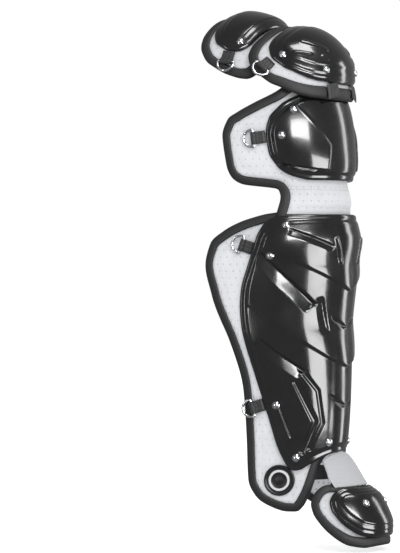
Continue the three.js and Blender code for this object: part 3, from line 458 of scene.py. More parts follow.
tree.links.new(black, shader.inputs["Base Color"])
bend = add_node(
    tree,
    "ShaderNodeBump",
    inputs={"Height": wave, "Distance": WAVE_DEPTH, "Strength": 1.0},
    out="Normal",
)
tree.links.new(bend, shader.inputs["Normal"])
print(gloss_abs.name, "has", len(gloss_abs.node_tree.nodes), "nodes")

# %% [markdown]
# The padding is foam under a light grey warp-knit mesh, matt with a soft sheen. Its
# small round holes stand in staggered rows, 9 mm apart. A picture of cloth could be
# wrapped on instead, but it would blur close up. Nodes count steps along the sheet's
# own UV map, so the holes stay sharp and follow the cloth round the leg.

# %% Steps along the sheet
HOLE_PITCH = 9.0
THREAD_PITCH = 1.1
# The wave texture runs through one band in this many steps of its coordinate.
WAVE_TURN = 6.28


def threads_apart(tree, pitch_mm):
    """The sheet's own coordinates, counted in steps of a pitch."""
    place = add_node(tree, "ShaderNodeUVMap", {"uv_map": "Sheet"}, out="UV")
    scale = 1 / (pitch_mm * MM)
    return add_node(
        tree,
        "ShaderNodeMapping",
        inputs={"Vector": place, "Scale": (scale, scale, 1)},
        out="Vector",
    )


print("holes stand", HOLE_PITCH, "mm apart, threads", THREAD_PITCH, "mm")

# %% Staggered holes
MATH = "ShaderNodeMath"


def hole_pattern(tree, pitch_mm, radius_share):
    """Near 1 in the round holes of a staggered pattern, and 0 between them."""
    parts = add_node(
        tree, "ShaderNodeSeparateXYZ", inputs={"Vector": threads_apart(tree, pitch_mm)}
    )
    side, rise = parts.outputs["X"], parts.outputs["Y"]
    row = add_node(tree, MATH, {"operation": "FLOOR"}, {0: rise}, "Value")
    count = add_node(tree, MATH, {"operation": "ABSOLUTE"}, {0: row}, "Value")
    odd = add_node(tree, MATH, {"operation": "MODULO"}, {0: count, 1: 2.0}, "Value")
    shifted = add_node(
        tree, MATH, {"operation": "MULTIPLY_ADD"}, {0: odd, 1: 0.5, 2: side}, "Value"
    )
    squares = []
    for way in (shifted, rise):
        part = add_node(tree, MATH, {"operation": "FRACT"}, {0: way}, "Value")
        off = add_node(tree, MATH, {"operation": "SUBTRACT"}, {0: part, 1: 0.5}, "Value")
        squares.append(add_node(tree, MATH, {"operation": "MULTIPLY"}, {0: off, 1: off}, "Value"))
    total = add_node(tree, MATH, {"operation": "ADD"}, {0: squares[0], 1: squares[1]}, "Value")
    away = add_node(tree, MATH, {"operation": "SQRT"}, {0: total}, "Value")
    return add_node(
        tree,
        "ShaderNodeMapRange",
        {"interpolation_type": "SMOOTHSTEP"},
        {
            "Value": away,
            "From Min": radius_share * 0.7,
            "From Max": radius_share * 1.25,
            "To Min": 1.0,
            "To Max": 0.0,
        },
        "Result",
    )

# %% Knit with holes
WEAR_MM = 25
KNIT_DEPTH = 0.0004


def mesh_cloth(name, light, hole_shade, pitch_mm, radius_share, sheen=0.3):
    """A warp-knit cloth with holes: light threads, and painted shade that darkens the recessed
    holes.
    """
    material, tree, shader = new_material(name, light, 0.85)
    shader.inputs["Sheen Weight"].default_value = sheen
    shader.inputs["Sheen Roughness"].default_value = 0.5
    holes = hole_pattern(tree, pitch_mm, radius_share)
    place = add_node(tree, "ShaderNodeTexCoord", out="Object")
    worn = add_node(
        tree,
        "ShaderNodeTexNoise",
        inputs={"Vector": place, "Scale": 1 / (WEAR_MM * MM), "Detail": 4, "Roughness": 0.5},
        out="Fac",
    )
    colour = linear(light)
    # Worn patches darken at random. The holes get painted shade, a darker colour where shade falls
    # in them.
    for factor, other in ((worn, dark_of(light)), (holes, hole_shade)):
        colour = add_node(
            tree,
            "ShaderNodeMix",
            {"data_type": "RGBA"},
            {"Factor": factor, "A": colour, "B": linear(other)},
            "Result",
        )
    tree.links.new(colour, shader.inputs["Base Color"])
    threads = add_node(
        tree,
        "ShaderNodeTexWave",
        {"wave_type": "BANDS", "bands_direction": "X"},
        {"Vector": threads_apart(tree, THREAD_PITCH * WAVE_TURN), "Scale": 1.0, "Distortion": 0.4},
        "Fac",
    )
    ribs = add_node(tree, MATH, {"operation": "MULTIPLY"}, {0: threads, 1: 0.25}, "Value")
    height = add_node(tree, MATH, {"operation": "SUBTRACT"}, {0: ribs, 1: holes}, "Value")
    bend = add_node(
        tree,
        "ShaderNodeBump",
        inputs={"Height": height, "Distance": KNIT_DEPTH, "Strength": 1.0},
        out="Normal",
    )
    tree.links.new(bend, shader.inputs["Normal"])
    return material


def dark_of(code):
    parts = [int(int(code[i : i + 2], 16) * 0.94) for i in (1, 3, 5)]
    return "#" + "".join(f"{p:02x}" for p in parts)


PAD_GREY = "#d3d4d7"
# The second colour is painted shade in the holes: faint on the outer knit, dark on the inner knit
# and the coral foam.
pad_front = mesh_cloth("warp_knit_grey", PAD_GREY, "#b9babd", HOLE_PITCH, 0.1)
pad_back = mesh_cloth("perforated_knit_grey", "#d0d1d4", "#6a6b70", HOLE_PITCH, 0.12)
coral_foam = mesh_cloth("perforated_coral_foam", "#f0806f", "#a8433a", 0.72 * HOLE_PITCH, 0.17, 0.1)
print("knits:", pad_front.name, pad_back.name, coral_foam.name)

# %% Tight weaves
def woven(name, colour, pitch_mm, roughness, depth, sheen):
    """A tight weave of polyester: rows of ribs across it, crossed by finer threads."""
    material, tree, shader = new_material(name, colour, roughness)
    shader.inputs["Sheen Weight"].default_value = sheen
    shader.inputs["Sheen Roughness"].default_value = 0.4
    threads = [
        add_node(
            tree,
            "ShaderNodeTexWave",
            {"wave_type": "BANDS", "bands_direction": way},
            {"Vector": threads_apart(tree, pitch_mm * WAVE_TURN), "Scale": 1.0, "Distortion": 0.3},
            "Fac",
        )
        for way in ("X", "Y")
    ]
    weave = add_node(tree, MATH, {"operation": "MULTIPLY"}, {0: threads[0], 1: threads[1]}, "Value")
    shade = add_node(
        tree,
        "ShaderNodeMix",
        {"data_type": "RGBA"},
        {"Factor": weave, "A": linear(dark_of(dark_of(colour))), "B": linear(colour)},
        "Result",
    )
    tree.links.new(shade, shader.inputs["Base Color"])
    bend = add_node(
        tree,
        "ShaderNodeBump",
        inputs={"Height": weave, "Distance": depth, "Strength": 1.0},
        out="Normal",
    )
    tree.links.new(bend, shader.inputs["Normal"])
    return material


binding_tape = woven("woven_binding_tape", "#18181a", 1.2, 0.6, 0.0002, 0.02)
webbing_cloth = woven("polyester_webbing", "#2a2a2c", 1.8, 0.6, 0.0004, 0.05)
brushed_knit = woven("brushed_black_knit", "#1c1c1e", 1.5, 0.92, 0.0003, 0.08)
smooth_knit = woven("smooth_grey_knit", "#c9cacd", 0.8, 0.85, 0.00006, 0.1)
thread_dark = new_material("sewing_thread", "#3a3b3e", 0.7)[0]
thread_light = new_material("pale_sewing_thread", "#b4b5b9", 0.7)[0]
print("weaves:", binding_tape.name, webbing_cloth.name, brushed_knit.name)

# %% [markdown]
# The rings and rivets are plated steel: bright, smooth and a little worn, so their
# roughness varies in fine spots. The badge is moulded rubber, satin, with a fine
# grain. Plain values would do from far away, but both stand near the camera.

# %% Plated steel and rubber
PLATING_SPOT_MM = 4
RUBBER_GRAIN_MM = 1.2
plated_steel, tree, shader = new_material("plated_steel", "#c9cbce", 0.16, 1.0)
place = add_node(tree, "ShaderNodeTexCoord", out="Object")
spots = add_node(
    tree,
    "ShaderNodeTexNoise",
    inputs={"Vector": place, "Scale": 1 / (PLATING_SPOT_MM * MM), "Detail": 3, "Roughness": 0.5},
    out="Fac",
)
rough = add_node(
    tree,
    "ShaderNodeMapRange",
    inputs={"Value": spots, "From Min": 0.3, "From Max": 0.75, "To Min": 0.1, "To Max": 0.28},
    out="Result",
)
tree.links.new(rough, shader.inputs["Roughness"])

satin_rubber, tree, shader = new_material("satin_rubber", "#0e0e0f", 0.42)
place = add_node(tree, "ShaderNodeTexCoord", out="Object")
grain = add_node(
    tree,
    "ShaderNodeTexNoise",
    inputs={"Vector": place, "Scale": 1 / (RUBBER_GRAIN_MM * MM), "Detail": 2, "Roughness": 0.5},
    out="Fac",
)
bend = add_node(
    tree,
    "ShaderNodeBump",
    inputs={"Height": grain, "Distance": 0.00005, "Strength": 1.0},
    out="Normal",
)
tree.links.new(bend, shader.inputs["Normal"])
pale_rubber = new_material("pale_rubber", "#c6c7ca", 0.5)[0]
print("materials:", len(bpy.data.materials))

# %% [markdown]
# The camera stands level with the shin, to the front and outer side, with a long
# lens, as in the photograph. Its place comes from the photograph's scale: one
# pixel is 1.3 mm at the guard, and the guard stands right of the middle.

# %% Camera
PIXEL_MM = 1.3
FRAME_LONG_SIDE = 553
PHOTO_TURN = math.radians(60)
CENTRE_RIGHT = -160
CENTRE_UP = 69.6
CAMERA_DISTANCE = 3.6
SENSOR = 36

towards_camera = Vector((-math.sin(PHOTO_TURN), -math.cos(PHOTO_TURN), 0))
camera_right = Vector((math.cos(PHOTO_TURN), -math.sin(PHOTO_TURN), 0))
aim = camera_right * CENTRE_RIGHT * MM + Vector((0, 0, CENTRE_UP * MM))
camera = bpy.data.objects.new("camera", bpy.data.cameras.new("camera"))
camera.data.sensor_width = SENSOR
camera.data.lens = SENSOR * CAMERA_DISTANCE / (FRAME_LONG_SIDE * PIXEL_MM * MM)
camera.location = aim + towards_camera * CAMERA_DISTANCE
camera.rotation_mode = "QUATERNION"
camera.rotation_quaternion = (-towards_camera).to_track_quat("-Z", "Y")
camera.data.clip_end = 50
bpy.context.scene.collection.objects.link(camera)
bpy.context.scene.camera = camera

print("camera lens:", round(camera.data.lens, 1), "mm")

# %% [markdown]
# The room is white to the eye, and darker to the shells, because a black gloss shows
# whatever stands round it. A world that asks each ray what it is does both, where
# walls and screens would do the same with more to place. The floor is white too.

# %% Room and floor
world = bpy.data.worlds.new("studio")
bpy.context.scene.world = world
world.use_nodes = True
ROOM_TO_CLOTH = 0.74
ROOM_TO_GLOSS = 0.3
sky = world.node_tree
rays = add_node(sky, "ShaderNodeLightPath")
level = ROOM_TO_CLOTH
for ray, share in (
    ("Is Camera Ray", 1 - ROOM_TO_CLOTH),
    ("Is Glossy Ray", ROOM_TO_GLOSS - ROOM_TO_CLOTH),
):
    level = add_node(
        sky,
        MATH,
        {"operation": "MULTIPLY_ADD"},
        {0: rays.outputs[ray], 1: share, 2: level},
        "Value",
    )
sky.links.new(level, sky.nodes["Background"].inputs["Strength"])
sky.nodes["Background"].inputs["Color"].default_value = (1, 1, 1, 1)
bpy.context.scene.view_settings.view_transform = "Standard"

FLOOR_DROP = 0.004
FLOOR_REACH = 9
FLOOR_GLOW = 0.45
floor_turns = ((-1, -1), (1, -1), (1, 1), (-1, 1))
floor_corners = [(x * FLOOR_REACH, y * FLOOR_REACH, 0) for x, y in floor_turns]
floor = make_mesh("floor", floor_corners, [(0, 1, 2, 3)])
floor.location.z = cad_box[0].z - FLOOR_DROP
pale_floor, tree, shader = new_material("pale_floor", "#ffffff", 1.0)
shader.inputs["Specular IOR Level"].default_value = 0.0
shader.inputs["Emission Color"].default_value = linear("#ffffff")
shader.inputs["Emission Strength"].default_value = FLOOR_GLOW
floor.data.materials.append(pale_floor)
floor.visible_glossy = False
print("floor at", round(floor.location.z, 4), "m")

# %% [markdown]
# The photograph's shells show a few broad soft boxes with clear edges, so large area
# lights stand round the guard. Those that gloss reflects don't light the cloth, and
# one more light is for the cloth alone, so each can be set by itself.

# %% Lights
def soft_light(name, place, size, power, gloss=True):
    """A soft box that looks at the origin, for gloss or else for matt surfaces."""
    data = bpy.data.lights.new(name, "AREA")
    data.shape = "RECTANGLE"
    data.size, data.size_y = size
    data.energy = power
    lamp = bpy.data.objects.new(name, data)
    lamp.location = place
    lamp.rotation_mode = "QUATERNION"
    lamp.rotation_quaternion = (-Vector(place)).to_track_quat("-Z", "Y")
    lamp.visible_diffuse = not gloss
    lamp.visible_glossy = gloss
    bpy.context.scene.collection.objects.link(lamp)


soft_light("key_box", (-0.4, -2.5, -0.2), (1.5, 0.9), 54)
soft_light("facet_box", (-1.47, -1.69, 0.86), (1.35, 0.5), 50)
soft_light("side_strip", (-2.7, 0.9, 0.3), (0.22, 1.9), 16)
soft_light("top_box", (-0.4, -1.0, 2.4), (1.2, 0.8), 40)
soft_light("rim_strip", (2.0, -1.5, 0.3), (0.4, 2.0), 14)
soft_light("cloth_box", (-2.2, -1.6, 1.6), (1.6, 1.6), 34, gloss=False)
print("lights:", len(bpy.data.lights))

# %% [markdown]
# Now the pads. Foam is full in the middle and pressed thin under the tape, so its
# thickness is a function of how far a cell lies from the edge. Cloth simulation could
# find it too, but these pads are held tight between tape and shells, and a function
# keeps each seam where it is sewn. The inner skin gets the knit with dark painted shade in its
# holes, and the outer skin the one with faint painted shade in its holes.

# %% Sizes of the padding and the tape
PAD_THICKNESS = 8
RIM_THICKNESS = 2.6
RIM_INSET = (PAD_THICKNESS - RIM_THICKNESS) / 2
BINDING_WIDTH = 9.5
BINDING_WALL = 1.2
BINDING_GAP = 1.3
EDGE_GAP = 0.4
RIM_WIDTH = BINDING_WIDTH + BINDING_GAP
SWELL_RUN = 14
SHELL_WALL = 3
SHELL_STANDOFF = 0.9
PAD_TUCK = 1.2
QUILT_STEP = 7.0
SEAM_DEPTH = 0.9
SEAM_WIDTH = 1.6
# How far in from a pad's edge its first cells lie.
PAD_STEPS = (0, 2, 5)


def finish_piece(obj, materials, body, nodes):
    """Gives a finished piece its material, and joins it to the construction."""
    for material in materials:
        obj.data.materials.append(material)
    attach(obj, body)
    if nodes:
        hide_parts(*nodes)
    print(obj.name, len(obj.data.polygons), "faces")
    return obj


def paint_faces(obj, first, marks):
    """Gives the faces from the first one on the material slots in marks."""
    index = np.zeros(len(obj.data.polygons), np.int32)
    index[first : first + len(marks)] = marks
    obj.data.polygons.foreach_set("material_index", index)


def seam(edge, run):
    """A sewn channel that runs parallel to the edge."""
    return SEAM_DEPTH * np.exp(-(((edge - run) / SEAM_WIDTH) ** 2))


def pad_skins(cut, across, height, outline, lift, full):
    edge = distance_to(outline, across, height)
    fullness = smooth((edge - RIM_WIDTH + 2) / SWELL_RUN) * full
    pressed = RIM_INSET * (1 - fullness) + seam(edge, RIM_WIDTH + QUILT_STEP)
    return lift + pressed, lift + PAD_THICKNESS - pressed


def build_pad(name, cut, rows, columns, lift=None, full=None):
    across, height = cells_of(cut, rows, columns, PAD_TUCK, PAD_STEPS)[:2]
    outline = outline_of(cut)
    lifts = lift(height) if lift else np.zeros_like(height)
    share = full(height) if full else np.ones_like(height)
    inner, outer = pad_skins(cut, across, height, outline, lifts, share)
    quads = grid_quads(*height.shape)
    obj = closed_sheet(f"{name}_padding", cut["form"], across, height, inner, outer, quads)
    paint_faces(obj, len(quads), [1] * len(quads))
    return finish_piece(obj, [pad_front, pad_back], "guard", [f"{name}_pad"])


print("pads:", PAD_THICKNESS, "mm thick, and", RIM_THICKNESS, "mm under the tape")

# %% [markdown]
# Tape is folded over each edge: a U section that travels round the outline. Its
# fold is round, so the section is an arc between two lips, with a thin wall. A curve
# with a bevel could carry it, but its section would twist at the corners. Here each
# ring is laid on the leg's own form, so the two lips always lie along the pad.

# %% Folded binding tape
# How far the folded tape stands up between its stitches and its fold.
TAPE_PUFF = 1.1


def tape_section():
    """(inset, lift) round the U section, from the outer lip to the inner one and back."""
    half = RIM_THICKNESS / 2 + BINDING_GAP + BINDING_WALL
    middle = PAD_THICKNESS / 2
    centre = half - EDGE_GAP - BINDING_WALL
    turns = np.linspace(math.pi / 2, -math.pi / 2, 9)
    fold = [(centre - half * math.cos(a), middle + half * math.sin(a)) for a in turns]
    slot = half - BINDING_WALL
    inside = [(centre - slot * math.cos(a), middle + slot * math.sin(a)) for a in reversed(turns)]
    lip = BINDING_WIDTH
    half_lip = [(lip, half - 0.4), (lip - 1.2, half), (lip / 2, half + TAPE_PUFF)]
    outer = [(inset, middle + rise) for inset, rise in half_lip]
    inner = [(inset, middle - rise) for inset, rise in reversed(half_lip)]
    back = [(lip, middle - slot)]
    front = [(lip, middle + slot)]
    return outer + fold + inner + back + inside + front


def inward_of(outline):
    way = np.roll(outline, -1, axis=0) - np.roll(outline, 1, axis=0)
    way = blur(way, 1.5)
    way /= np.linalg.norm(way, axis=1)[:, None]
    return np.stack([-way[:, 1], way[:, 0]], axis=-1)


def build_binding(name, cut, lift=None, hem=None):
    outline = outline_of(cut, hem=hem)
    inward = inward_of(outline)
    section = tape_section()
    base = lift(outline[:, 1]) if lift else np.zeros(len(outline))
    rings = []
    uvs = []
    run = np.arange(len(outline)) * OUTLINE_SPACING
    for k, (inset, rise) in enumerate(section):
        spot = outline + inward * inset
        rings.append(on_form(cut["form"], spot[:, 0], spot[:, 1], base + rise))
        uvs.append(np.stack([run, np.full(len(run), inset + rise)], axis=-1) * MM)
    points = np.stack(rings, axis=1).reshape(-1, 3)
    uvs = np.stack(uvs, axis=1).reshape(-1, 2)
    obj = make_mesh(f"{name}_tape", points, tube_quads(len(outline), len(section)), uvs)
    recalculate(obj)
    return finish_piece(obj, [binding_tape], "guard", [f"{name}_binding"])


def recalculate(obj):
    """Turns every face outwards."""
    work = bmesh.new()
    work.from_mesh(obj.data)
    bmesh.ops.recalc_face_normals(work, faces=work.faces)
    work.to_mesh(obj.data)
    work.free()


print("the tape's section has", len(tape_section()), "points")

# %% [markdown]
# The knee pad has wings and a neck that runs down between the shin pad and the shin
# shell. The neck could be a piece of its own, but the real one is cut in one with
# the wings, so the same sheet is lifted there and made thin.

# %% Knee pad
KNEE_SHELL_TOP = 312
KNEE_SHELL_HEIGHT = 119
SHIN_PAD_TOP = 156
KNEE_PAD_TOP = 322
KNEE_PAD_HEIGHT = 182
NECK_TOP = KNEE_SHELL_TOP - KNEE_SHELL_HEIGHT - EDGE_GAP
NECK_RUN = NECK_TOP - SHIN_PAD_TOP - SWELL_RUN / 2
NECK_LIFT = 8.6
NECK_FULL = KNEE_PAD_TOP - KNEE_PAD_HEIGHT * (0.7 - RIM_WIDTH / KNEE_PAD_HEIGHT)
KNEE_ROWS = [
    (1.0, 0.4, 0.02),
    (0.94, 0.52, 0.035),
    (0.86, 0.71, 0.03),
    (0.79, 0.85, 0.02),
    (0.72, 0.94, 0),
    (0.6, 1.0, 0),
    (0.4, 0.98, 0),
    (0.32, 0.94, 0),
    (0.275, 0.86, 0),
    (0.235, 0.55, 0),
    (0.16, 0.515, 0),
    (0.0, 0.55, 0),
]
KNEE_PAD = make_cut(LEG, KNEE_PAD_TOP, KNEE_PAD_HEIGHT, 159, KNEE_ROWS, 9)


def neck_lift(height):
    return NECK_LIFT * smooth((NECK_TOP - height) / NECK_RUN)


def knee_full(height):
    return smooth((height - NECK_FULL) / SWELL_RUN)


build_pad("knee", KNEE_PAD, 90, 90, neck_lift, knee_full)
build_binding("knee", KNEE_PAD, neck_lift)

# %% [markdown]
# The shin pad ends in two lobes either side of an arch over the instep. A boolean cut
# would leave a raw edge for the tape, so each row of cells is two halves, which meet
# on the front line and part below the arch's crown.

# %% Shin pad
SHIN_PAD_HEIGHT = 388
SHIN_PAD_REACH = 186
ARCH_HEIGHT = 78
ARCH_REACH = 52
SHIN_ROWS = [
    (1.0, 0.6, 0.024),
    (0.976, 0.72, 0.02),
    (0.945, 0.84, 0.016),
    (0.89, 0.96, 0.005),
    (0.82, 1.0, 0),
    (0.72, 0.935, 0),
    (0.56, 0.775, 0),
    (0.4, 0.67, 0),
    (0.24, 0.64, 0),
    (0.1, 0.625, 0),
    (0.045, 0.565, 0),
    (0.0, 0.42, 0),
]
SHIN_PAD = make_cut(LEG, SHIN_PAD_TOP, SHIN_PAD_HEIGHT, SHIN_PAD_REACH, SHIN_ROWS, 12)
SHIN_PAD_BOTTOM = SHIN_PAD_TOP - SHIN_PAD_HEIGHT
# Columns: across as a share of the arch's reach, up as a share of its height.
ARCH = [
    (0.0, 1.0),
    (0.27, 0.96),
    (0.44, 0.87),
    (0.57, 0.72),
    (0.66, 0.5),
    (0.76, 0.28),
    (0.88, 0.1),
    (1.0, 0.0),
]


def arch_width(height, tuck=0.0):
    """Half the arch's width at a height: nothing above its crown."""
    up = (height - tuck - SHIN_PAD_BOTTOM) / ARCH_HEIGHT
    width = np.interp(up, [p[1] for p in ARCH[::-1]], [p[0] for p in ARCH[::-1]])
    return np.where(up < 1, width * ARCH_REACH + tuck, 0.0)


arch_half = np.array([(a * ARCH_REACH, SHIN_PAD_BOTTOM + u * ARCH_HEIGHT) for a, u in ARCH])
over_arch = np.vstack([arch_half[::-1] * (-1, 1), arch_half[1:]])
print("the arch:", 2 * ARCH_REACH, "mm wide and", ARCH_HEIGHT, "mm high")

# %% The shin pad's two halves
def build_shin_pad(rows, columns):
    cut = SHIN_PAD
    crown = SHIN_PAD_HEIGHT - ARCH_HEIGHT - PAD_TUCK
    lobes = crown + ARCH_HEIGHT * np.array([0.012, 0.03, 0.06, 0.1, 0.15])
    downs = np.unique(np.concatenate([downs_of(cut, rows, PAD_TUCK, PAD_STEPS), [crown], lobes]))
    reach = reach_at(cut, downs, PAD_TUCK)
    arch = arch_width(SHIN_PAD_TOP - downs, PAD_TUCK)
    across, heights, index, quads = [], [], {}, []
    for i, (down, side, gap) in enumerate(zip(downs, reach, arch)):
        side = max(side, gap + 2)
        half = np.linspace(side, gap, columns)
        for sign in (-1, 1):
            for j, run in enumerate(half):
                if sign == 1 and j == columns - 1 and gap == 0:
                    index[(i, sign, j)] = index[(i, -1, j)]
                    continue
                index[(i, sign, j)] = len(across)
                a, h = cell_at(cut, down, sign * run)
                across.append(a)
                heights.append(h)
    for i in range(len(downs) - 1):
        for j in range(columns - 1):
            round_cell = [(i, j), (i + 1, j), (i + 1, j + 1), (i, j + 1)]
            quads.append([index[(r, -1, c)] for r, c in round_cell])
            quads.append([index[(r, 1, c)] for r, c in reversed(round_cell)])
    across, heights = np.array(across), np.array(heights)
    outline = outline_of(cut, hem=over_arch)
    full = smooth((heights - SHIN_PAD_BOTTOM - ARCH_HEIGHT - RIM_WIDTH) / (2 * SWELL_RUN))
    inner, outer = pad_skins(cut, across, heights, outline, 0, full)
    obj = closed_sheet("shin_padding", LEG, across, heights, inner, outer, quads)
    paint_faces(obj, len(quads), [1] * len(quads))
    return finish_piece(obj, [pad_front, pad_back], "guard", ["shin_pad"])


build_shin_pad(130, 48)
build_binding("shin", SHIN_PAD, hem=over_arch)

# %% [markdown]
# The thigh guards and the toe guard are smaller pads of the same kind. They could be
# drawn on the leg's own form, but they lean back with the bent knee and the foot, so
# each has a domed form of its own.

# %% Thigh and toe pads
THIGH_LOWER_ROWS = [
    (1.0, 0.5, 0.06),
    (0.93, 0.72, 0.04),
    (0.82, 0.9, 0.02),
    (0.64, 1.0, 0),
    (0.48, 0.97, 0),
    (0.34, 0.87, 0),
    (0.18, 0.72, -0.02),
    (0.07, 0.56, -0.04),
    (0.0, 0.42, -0.06),
]
THIGH_UPPER_ROWS = [
    (1.0, 0.42, 0.03),
    (0.93, 0.68, 0.02),
    (0.8, 0.87, 0),
    (0.62, 0.98, 0),
    (0.42, 1.0, 0),
    (0.25, 0.97, 0),
    (0.1, 0.9, 0),
    (0.0, 0.8, 0),
]
TOE_ROWS = [
    (1.0, 0.66, -0.18),
    (0.9, 0.85, -0.18),
    (0.8, 0.96, -0.18),
    (0.62, 1.0, -0.2),
    (0.42, 0.97, -0.22),
    (0.22, 0.88, -0.21),
    (0.08, 0.72, -0.13),
    (0.0, 0.51, -0.06),
]
# Each holds the top, the height and the reach to one side.
THIGH_LOWER_SIZE = (64, 128, 105)
THIGH_UPPER_SIZE = (58, 98, 108)
TOE_SIZE = (18, 84, 74)
THIGH_LOWER_PAD = make_cut(THIGH_LOWER, *THIGH_LOWER_SIZE, THIGH_LOWER_ROWS, 8)
THIGH_UPPER_PAD = make_cut(THIGH_UPPER, *THIGH_UPPER_SIZE, THIGH_UPPER_ROWS, 8)
TOE_PAD = make_cut(TOE, *TOE_SIZE, TOE_ROWS, 7)
for name, cut, full in (
    ("thigh_lower", THIGH_LOWER_PAD, 1.0),
    ("thigh_upper", THIGH_UPPER_PAD, 1.0),
    ("toe", TOE_PAD, 0.6),
):
    build_pad(name, cut, 60, 60, full=lambda h, share=full: np.full_like(h, share))
    build_binding(name, cut)

# %% [markdown]
# A shell is a moulded wall of even thickness, crowned over the padding. Its relief
# is added to both skins: a raised border, ribs, recessed slots and steps. It could be
# sculpted by hand, but lines on the sheet can be measured and moved. A stroke is a
# short line with a width and a depth, mirrored about the front.

# %% Shells with relief
EDGE_ROUND = 1.5
EDGE_DROP = 1.3
LEAST_WALL = 1.2
# How much of the relief shows on the shell's inner side.
INNER_RELIEF = 0.55


def stroke(across, height, points, width, depth, bevel=2.0):
    away = distance_to(np.array(points, float), np.abs(across), height, closed=False)
    return depth * (1 - smooth((away - width / 2) / bevel))


def border(edge, flange=8.0, rise=1.5, bead=0.7):
    """A low flange along the edge with a bead on it, and a crisp step up to the field."""
    return rise * smooth((edge - flange) / 2.2) + bead * np.exp(-(((edge - 2.6) / 1.8) ** 2))


def wedge(across, height, line, width, depth, ends=5.0):
    """A slot with a sloping floor: deep at its upper side and level at its lower side."""
    start, end = np.array(line, float)
    run = np.abs(across) - start[0]
    rise = height - start[1]
    length = np.linalg.norm(end - start)
    way = (end - start) / length
    along = run * way[0] + rise * way[1]
    over = (rise * way[0] - run * way[1]) * (1 if way[0] > 0 else -1)
    floor = np.clip((over + width / 2) / width, 0, 1)
    wall = 1 - smooth((over - width / 2) / 1.7)
    taper = smooth(along / ends) * smooth((length - along) / ends)
    return -depth * floor * wall * taper


def lame(across, height, points, rise, run):
    """A step along a line: the sheet swells towards the line and drops just past it."""
    xs = [p[0] for p in points]
    level = np.interp(np.abs(across), xs, [p[1] for p in points])
    above = height - level
    swell = rise * smooth(1 - above / run)
    return np.where(above > 0, swell, rise * smooth(1 + above / 1.9))


def build_shell(name, cut, rows, columns, crown, lift=None, relief=None):
    across, height, runs, downs = cells_of(cut, rows, columns, 0.0, (0, 0.35, 0.9, 1.6))
    up = 1 - downs[:, None] / cut["height"]
    f = runs / cut["reach"](up)
    bulge = crown * (1 - f**4) * (1 - (2 * up - 1) ** 4)
    edge = distance_to(outline_of(cut, 2.0, 0.5), across, height)
    base = PAD_THICKNESS + SHELL_STANDOFF + bulge + (lift(height) if lift else 0)
    detail = relief(across, height, edge) if relief else 0
    roll = np.clip(1 - edge / EDGE_ROUND, 0, 1)
    rounded = EDGE_DROP * (1 - np.sqrt(1 - roll**2))
    inner = base + INNER_RELIEF * detail
    outer = base + SHELL_WALL + detail - rounded
    outer = np.maximum(outer, inner + LEAST_WALL)
    quads = grid_quads(*height.shape)
    obj = closed_sheet(f"{name}_moulding", cut["form"], across, height, inner, outer, quads)
    return finish_piece(obj, [gloss_abs], "guard", [f"{name}_shell"])


sample_stroke = stroke(10.0, 0.0, [(0, 0), (20, 0)], 3, -2)
print("a sample stroke, in its middle:", sample_stroke, "mm")

# %% [markdown]
# The shin shell is the largest moulding. A raised plate runs down its middle. Steps
# like the lames of a gauntlet run down from the sides to the plate, with long
# recesses between them, and small fins stand near the top and the ankle. The mould
# cuts all of it into one sheet, so here too it is one sheet whose lift changes.

# %% Shin shell
SHIN_SHELL_TOP = 150
SHELL_TOP_LIFT = 8.4
SHIN_PLATE_REACH = 23
SHIN_PLATE_RISE = 1.0
SHIN_SHELL_ROWS = [
    (1.0, 0.71, 0.014),
    (0.91, 0.85, 0.01),
    (0.78, 0.965, 0.005),
    (0.68, 1.0, 0),
    (0.52, 0.955, 0),
    (0.33, 0.81, 0.012),
    (0.2, 0.68, 0.045),
    (0.09, 0.57, 0.08),
    (0.0, 0.43, 0.1),
]
SHIN_SHELL = make_cut(LEG, SHIN_SHELL_TOP, 307, 135, SHIN_SHELL_ROWS, 12)
# Each line is a list of (run across, height) on the sheet, in millimetres.
TOP_SLOT = [(78, 127), (30, 104)]
FRONT_FIN = [(26, 119), (19, 88)]
UPPER_STEP = [(0, 52), (20, 62), (84, 95), (140, 121)]
UPPER_RECESS = [(119, 97), (50, 27)]
RECESS_TAIL = [(44, 44), (32, -6)]
MIDDLE_STEP = [(0, -46), (24, -36), (42, -24), (102, 20), (140, 46)]
LOWER_RECESS = [(110, -14), (54, -58)]
CHANNEL = [(60, -66), (38, -116), (49, -156)]
OUTER_CHANNEL = [(56, -50), (37, -77), (30, -119), (42, -152)]
ANKLE_FIN = [(79, -100), (64, -138)]
PLATE_BREAKS = [8, -94]


def shin_lift(height):
    return SHELL_TOP_LIFT * smooth((height - 0.55 * SHIN_SHELL_TOP) / (0.3 * SHIN_SHELL_TOP))


def shin_relief(across, height, edge):
    run = np.abs(across)
    plate = SHIN_PLATE_RISE * smooth((SHIN_PLATE_REACH - run) / 9.0)
    steps = lame(across, height, UPPER_STEP, 2.8, 40) + lame(across, height, MIDDLE_STEP, 3.2, 52)
    inside = smooth((edge - 8) / 5)
    slots = wedge(across, height, TOP_SLOT, 8, 3.2)
    slots += wedge(across, height, UPPER_RECESS, 15, 4.9)
    slots += wedge(across, height, RECESS_TAIL, 10, 2.4, 10)
    slots += wedge(across, height, LOWER_RECESS, 13, 4.6)
    slots += stroke(across, height, CHANNEL, 2.5, -2.6, 2.4)
    slots += stroke(across, height, OUTER_CHANNEL, 1.2, -2.0, 2.4)
    slots += stroke(across, height, FRONT_FIN, 1.5, 2.6, 2.2)
    slots += stroke(across, height, ANKLE_FIN, 3, 2.4, 2.4)
    notches = sum(
        stroke(across, height, [(4, level - 3), (15, level + 3), (21, level + 9)], 2.5, -2.6, 1.8)
        for level in PLATE_BREAKS
    )
    return plate + (steps + slots) * inside + notches + border(edge)


build_shell("shin", SHIN_SHELL, 230, 190, 6, shin_lift, shin_relief)

# %% [markdown]
# The knee shell is a deep cup. A raised shield with a pointed lower side sits on
# each flank, and a smooth band runs between the two shields over the knee cap. A
# displacement picture could raise them, but two lines give a sharper edge.

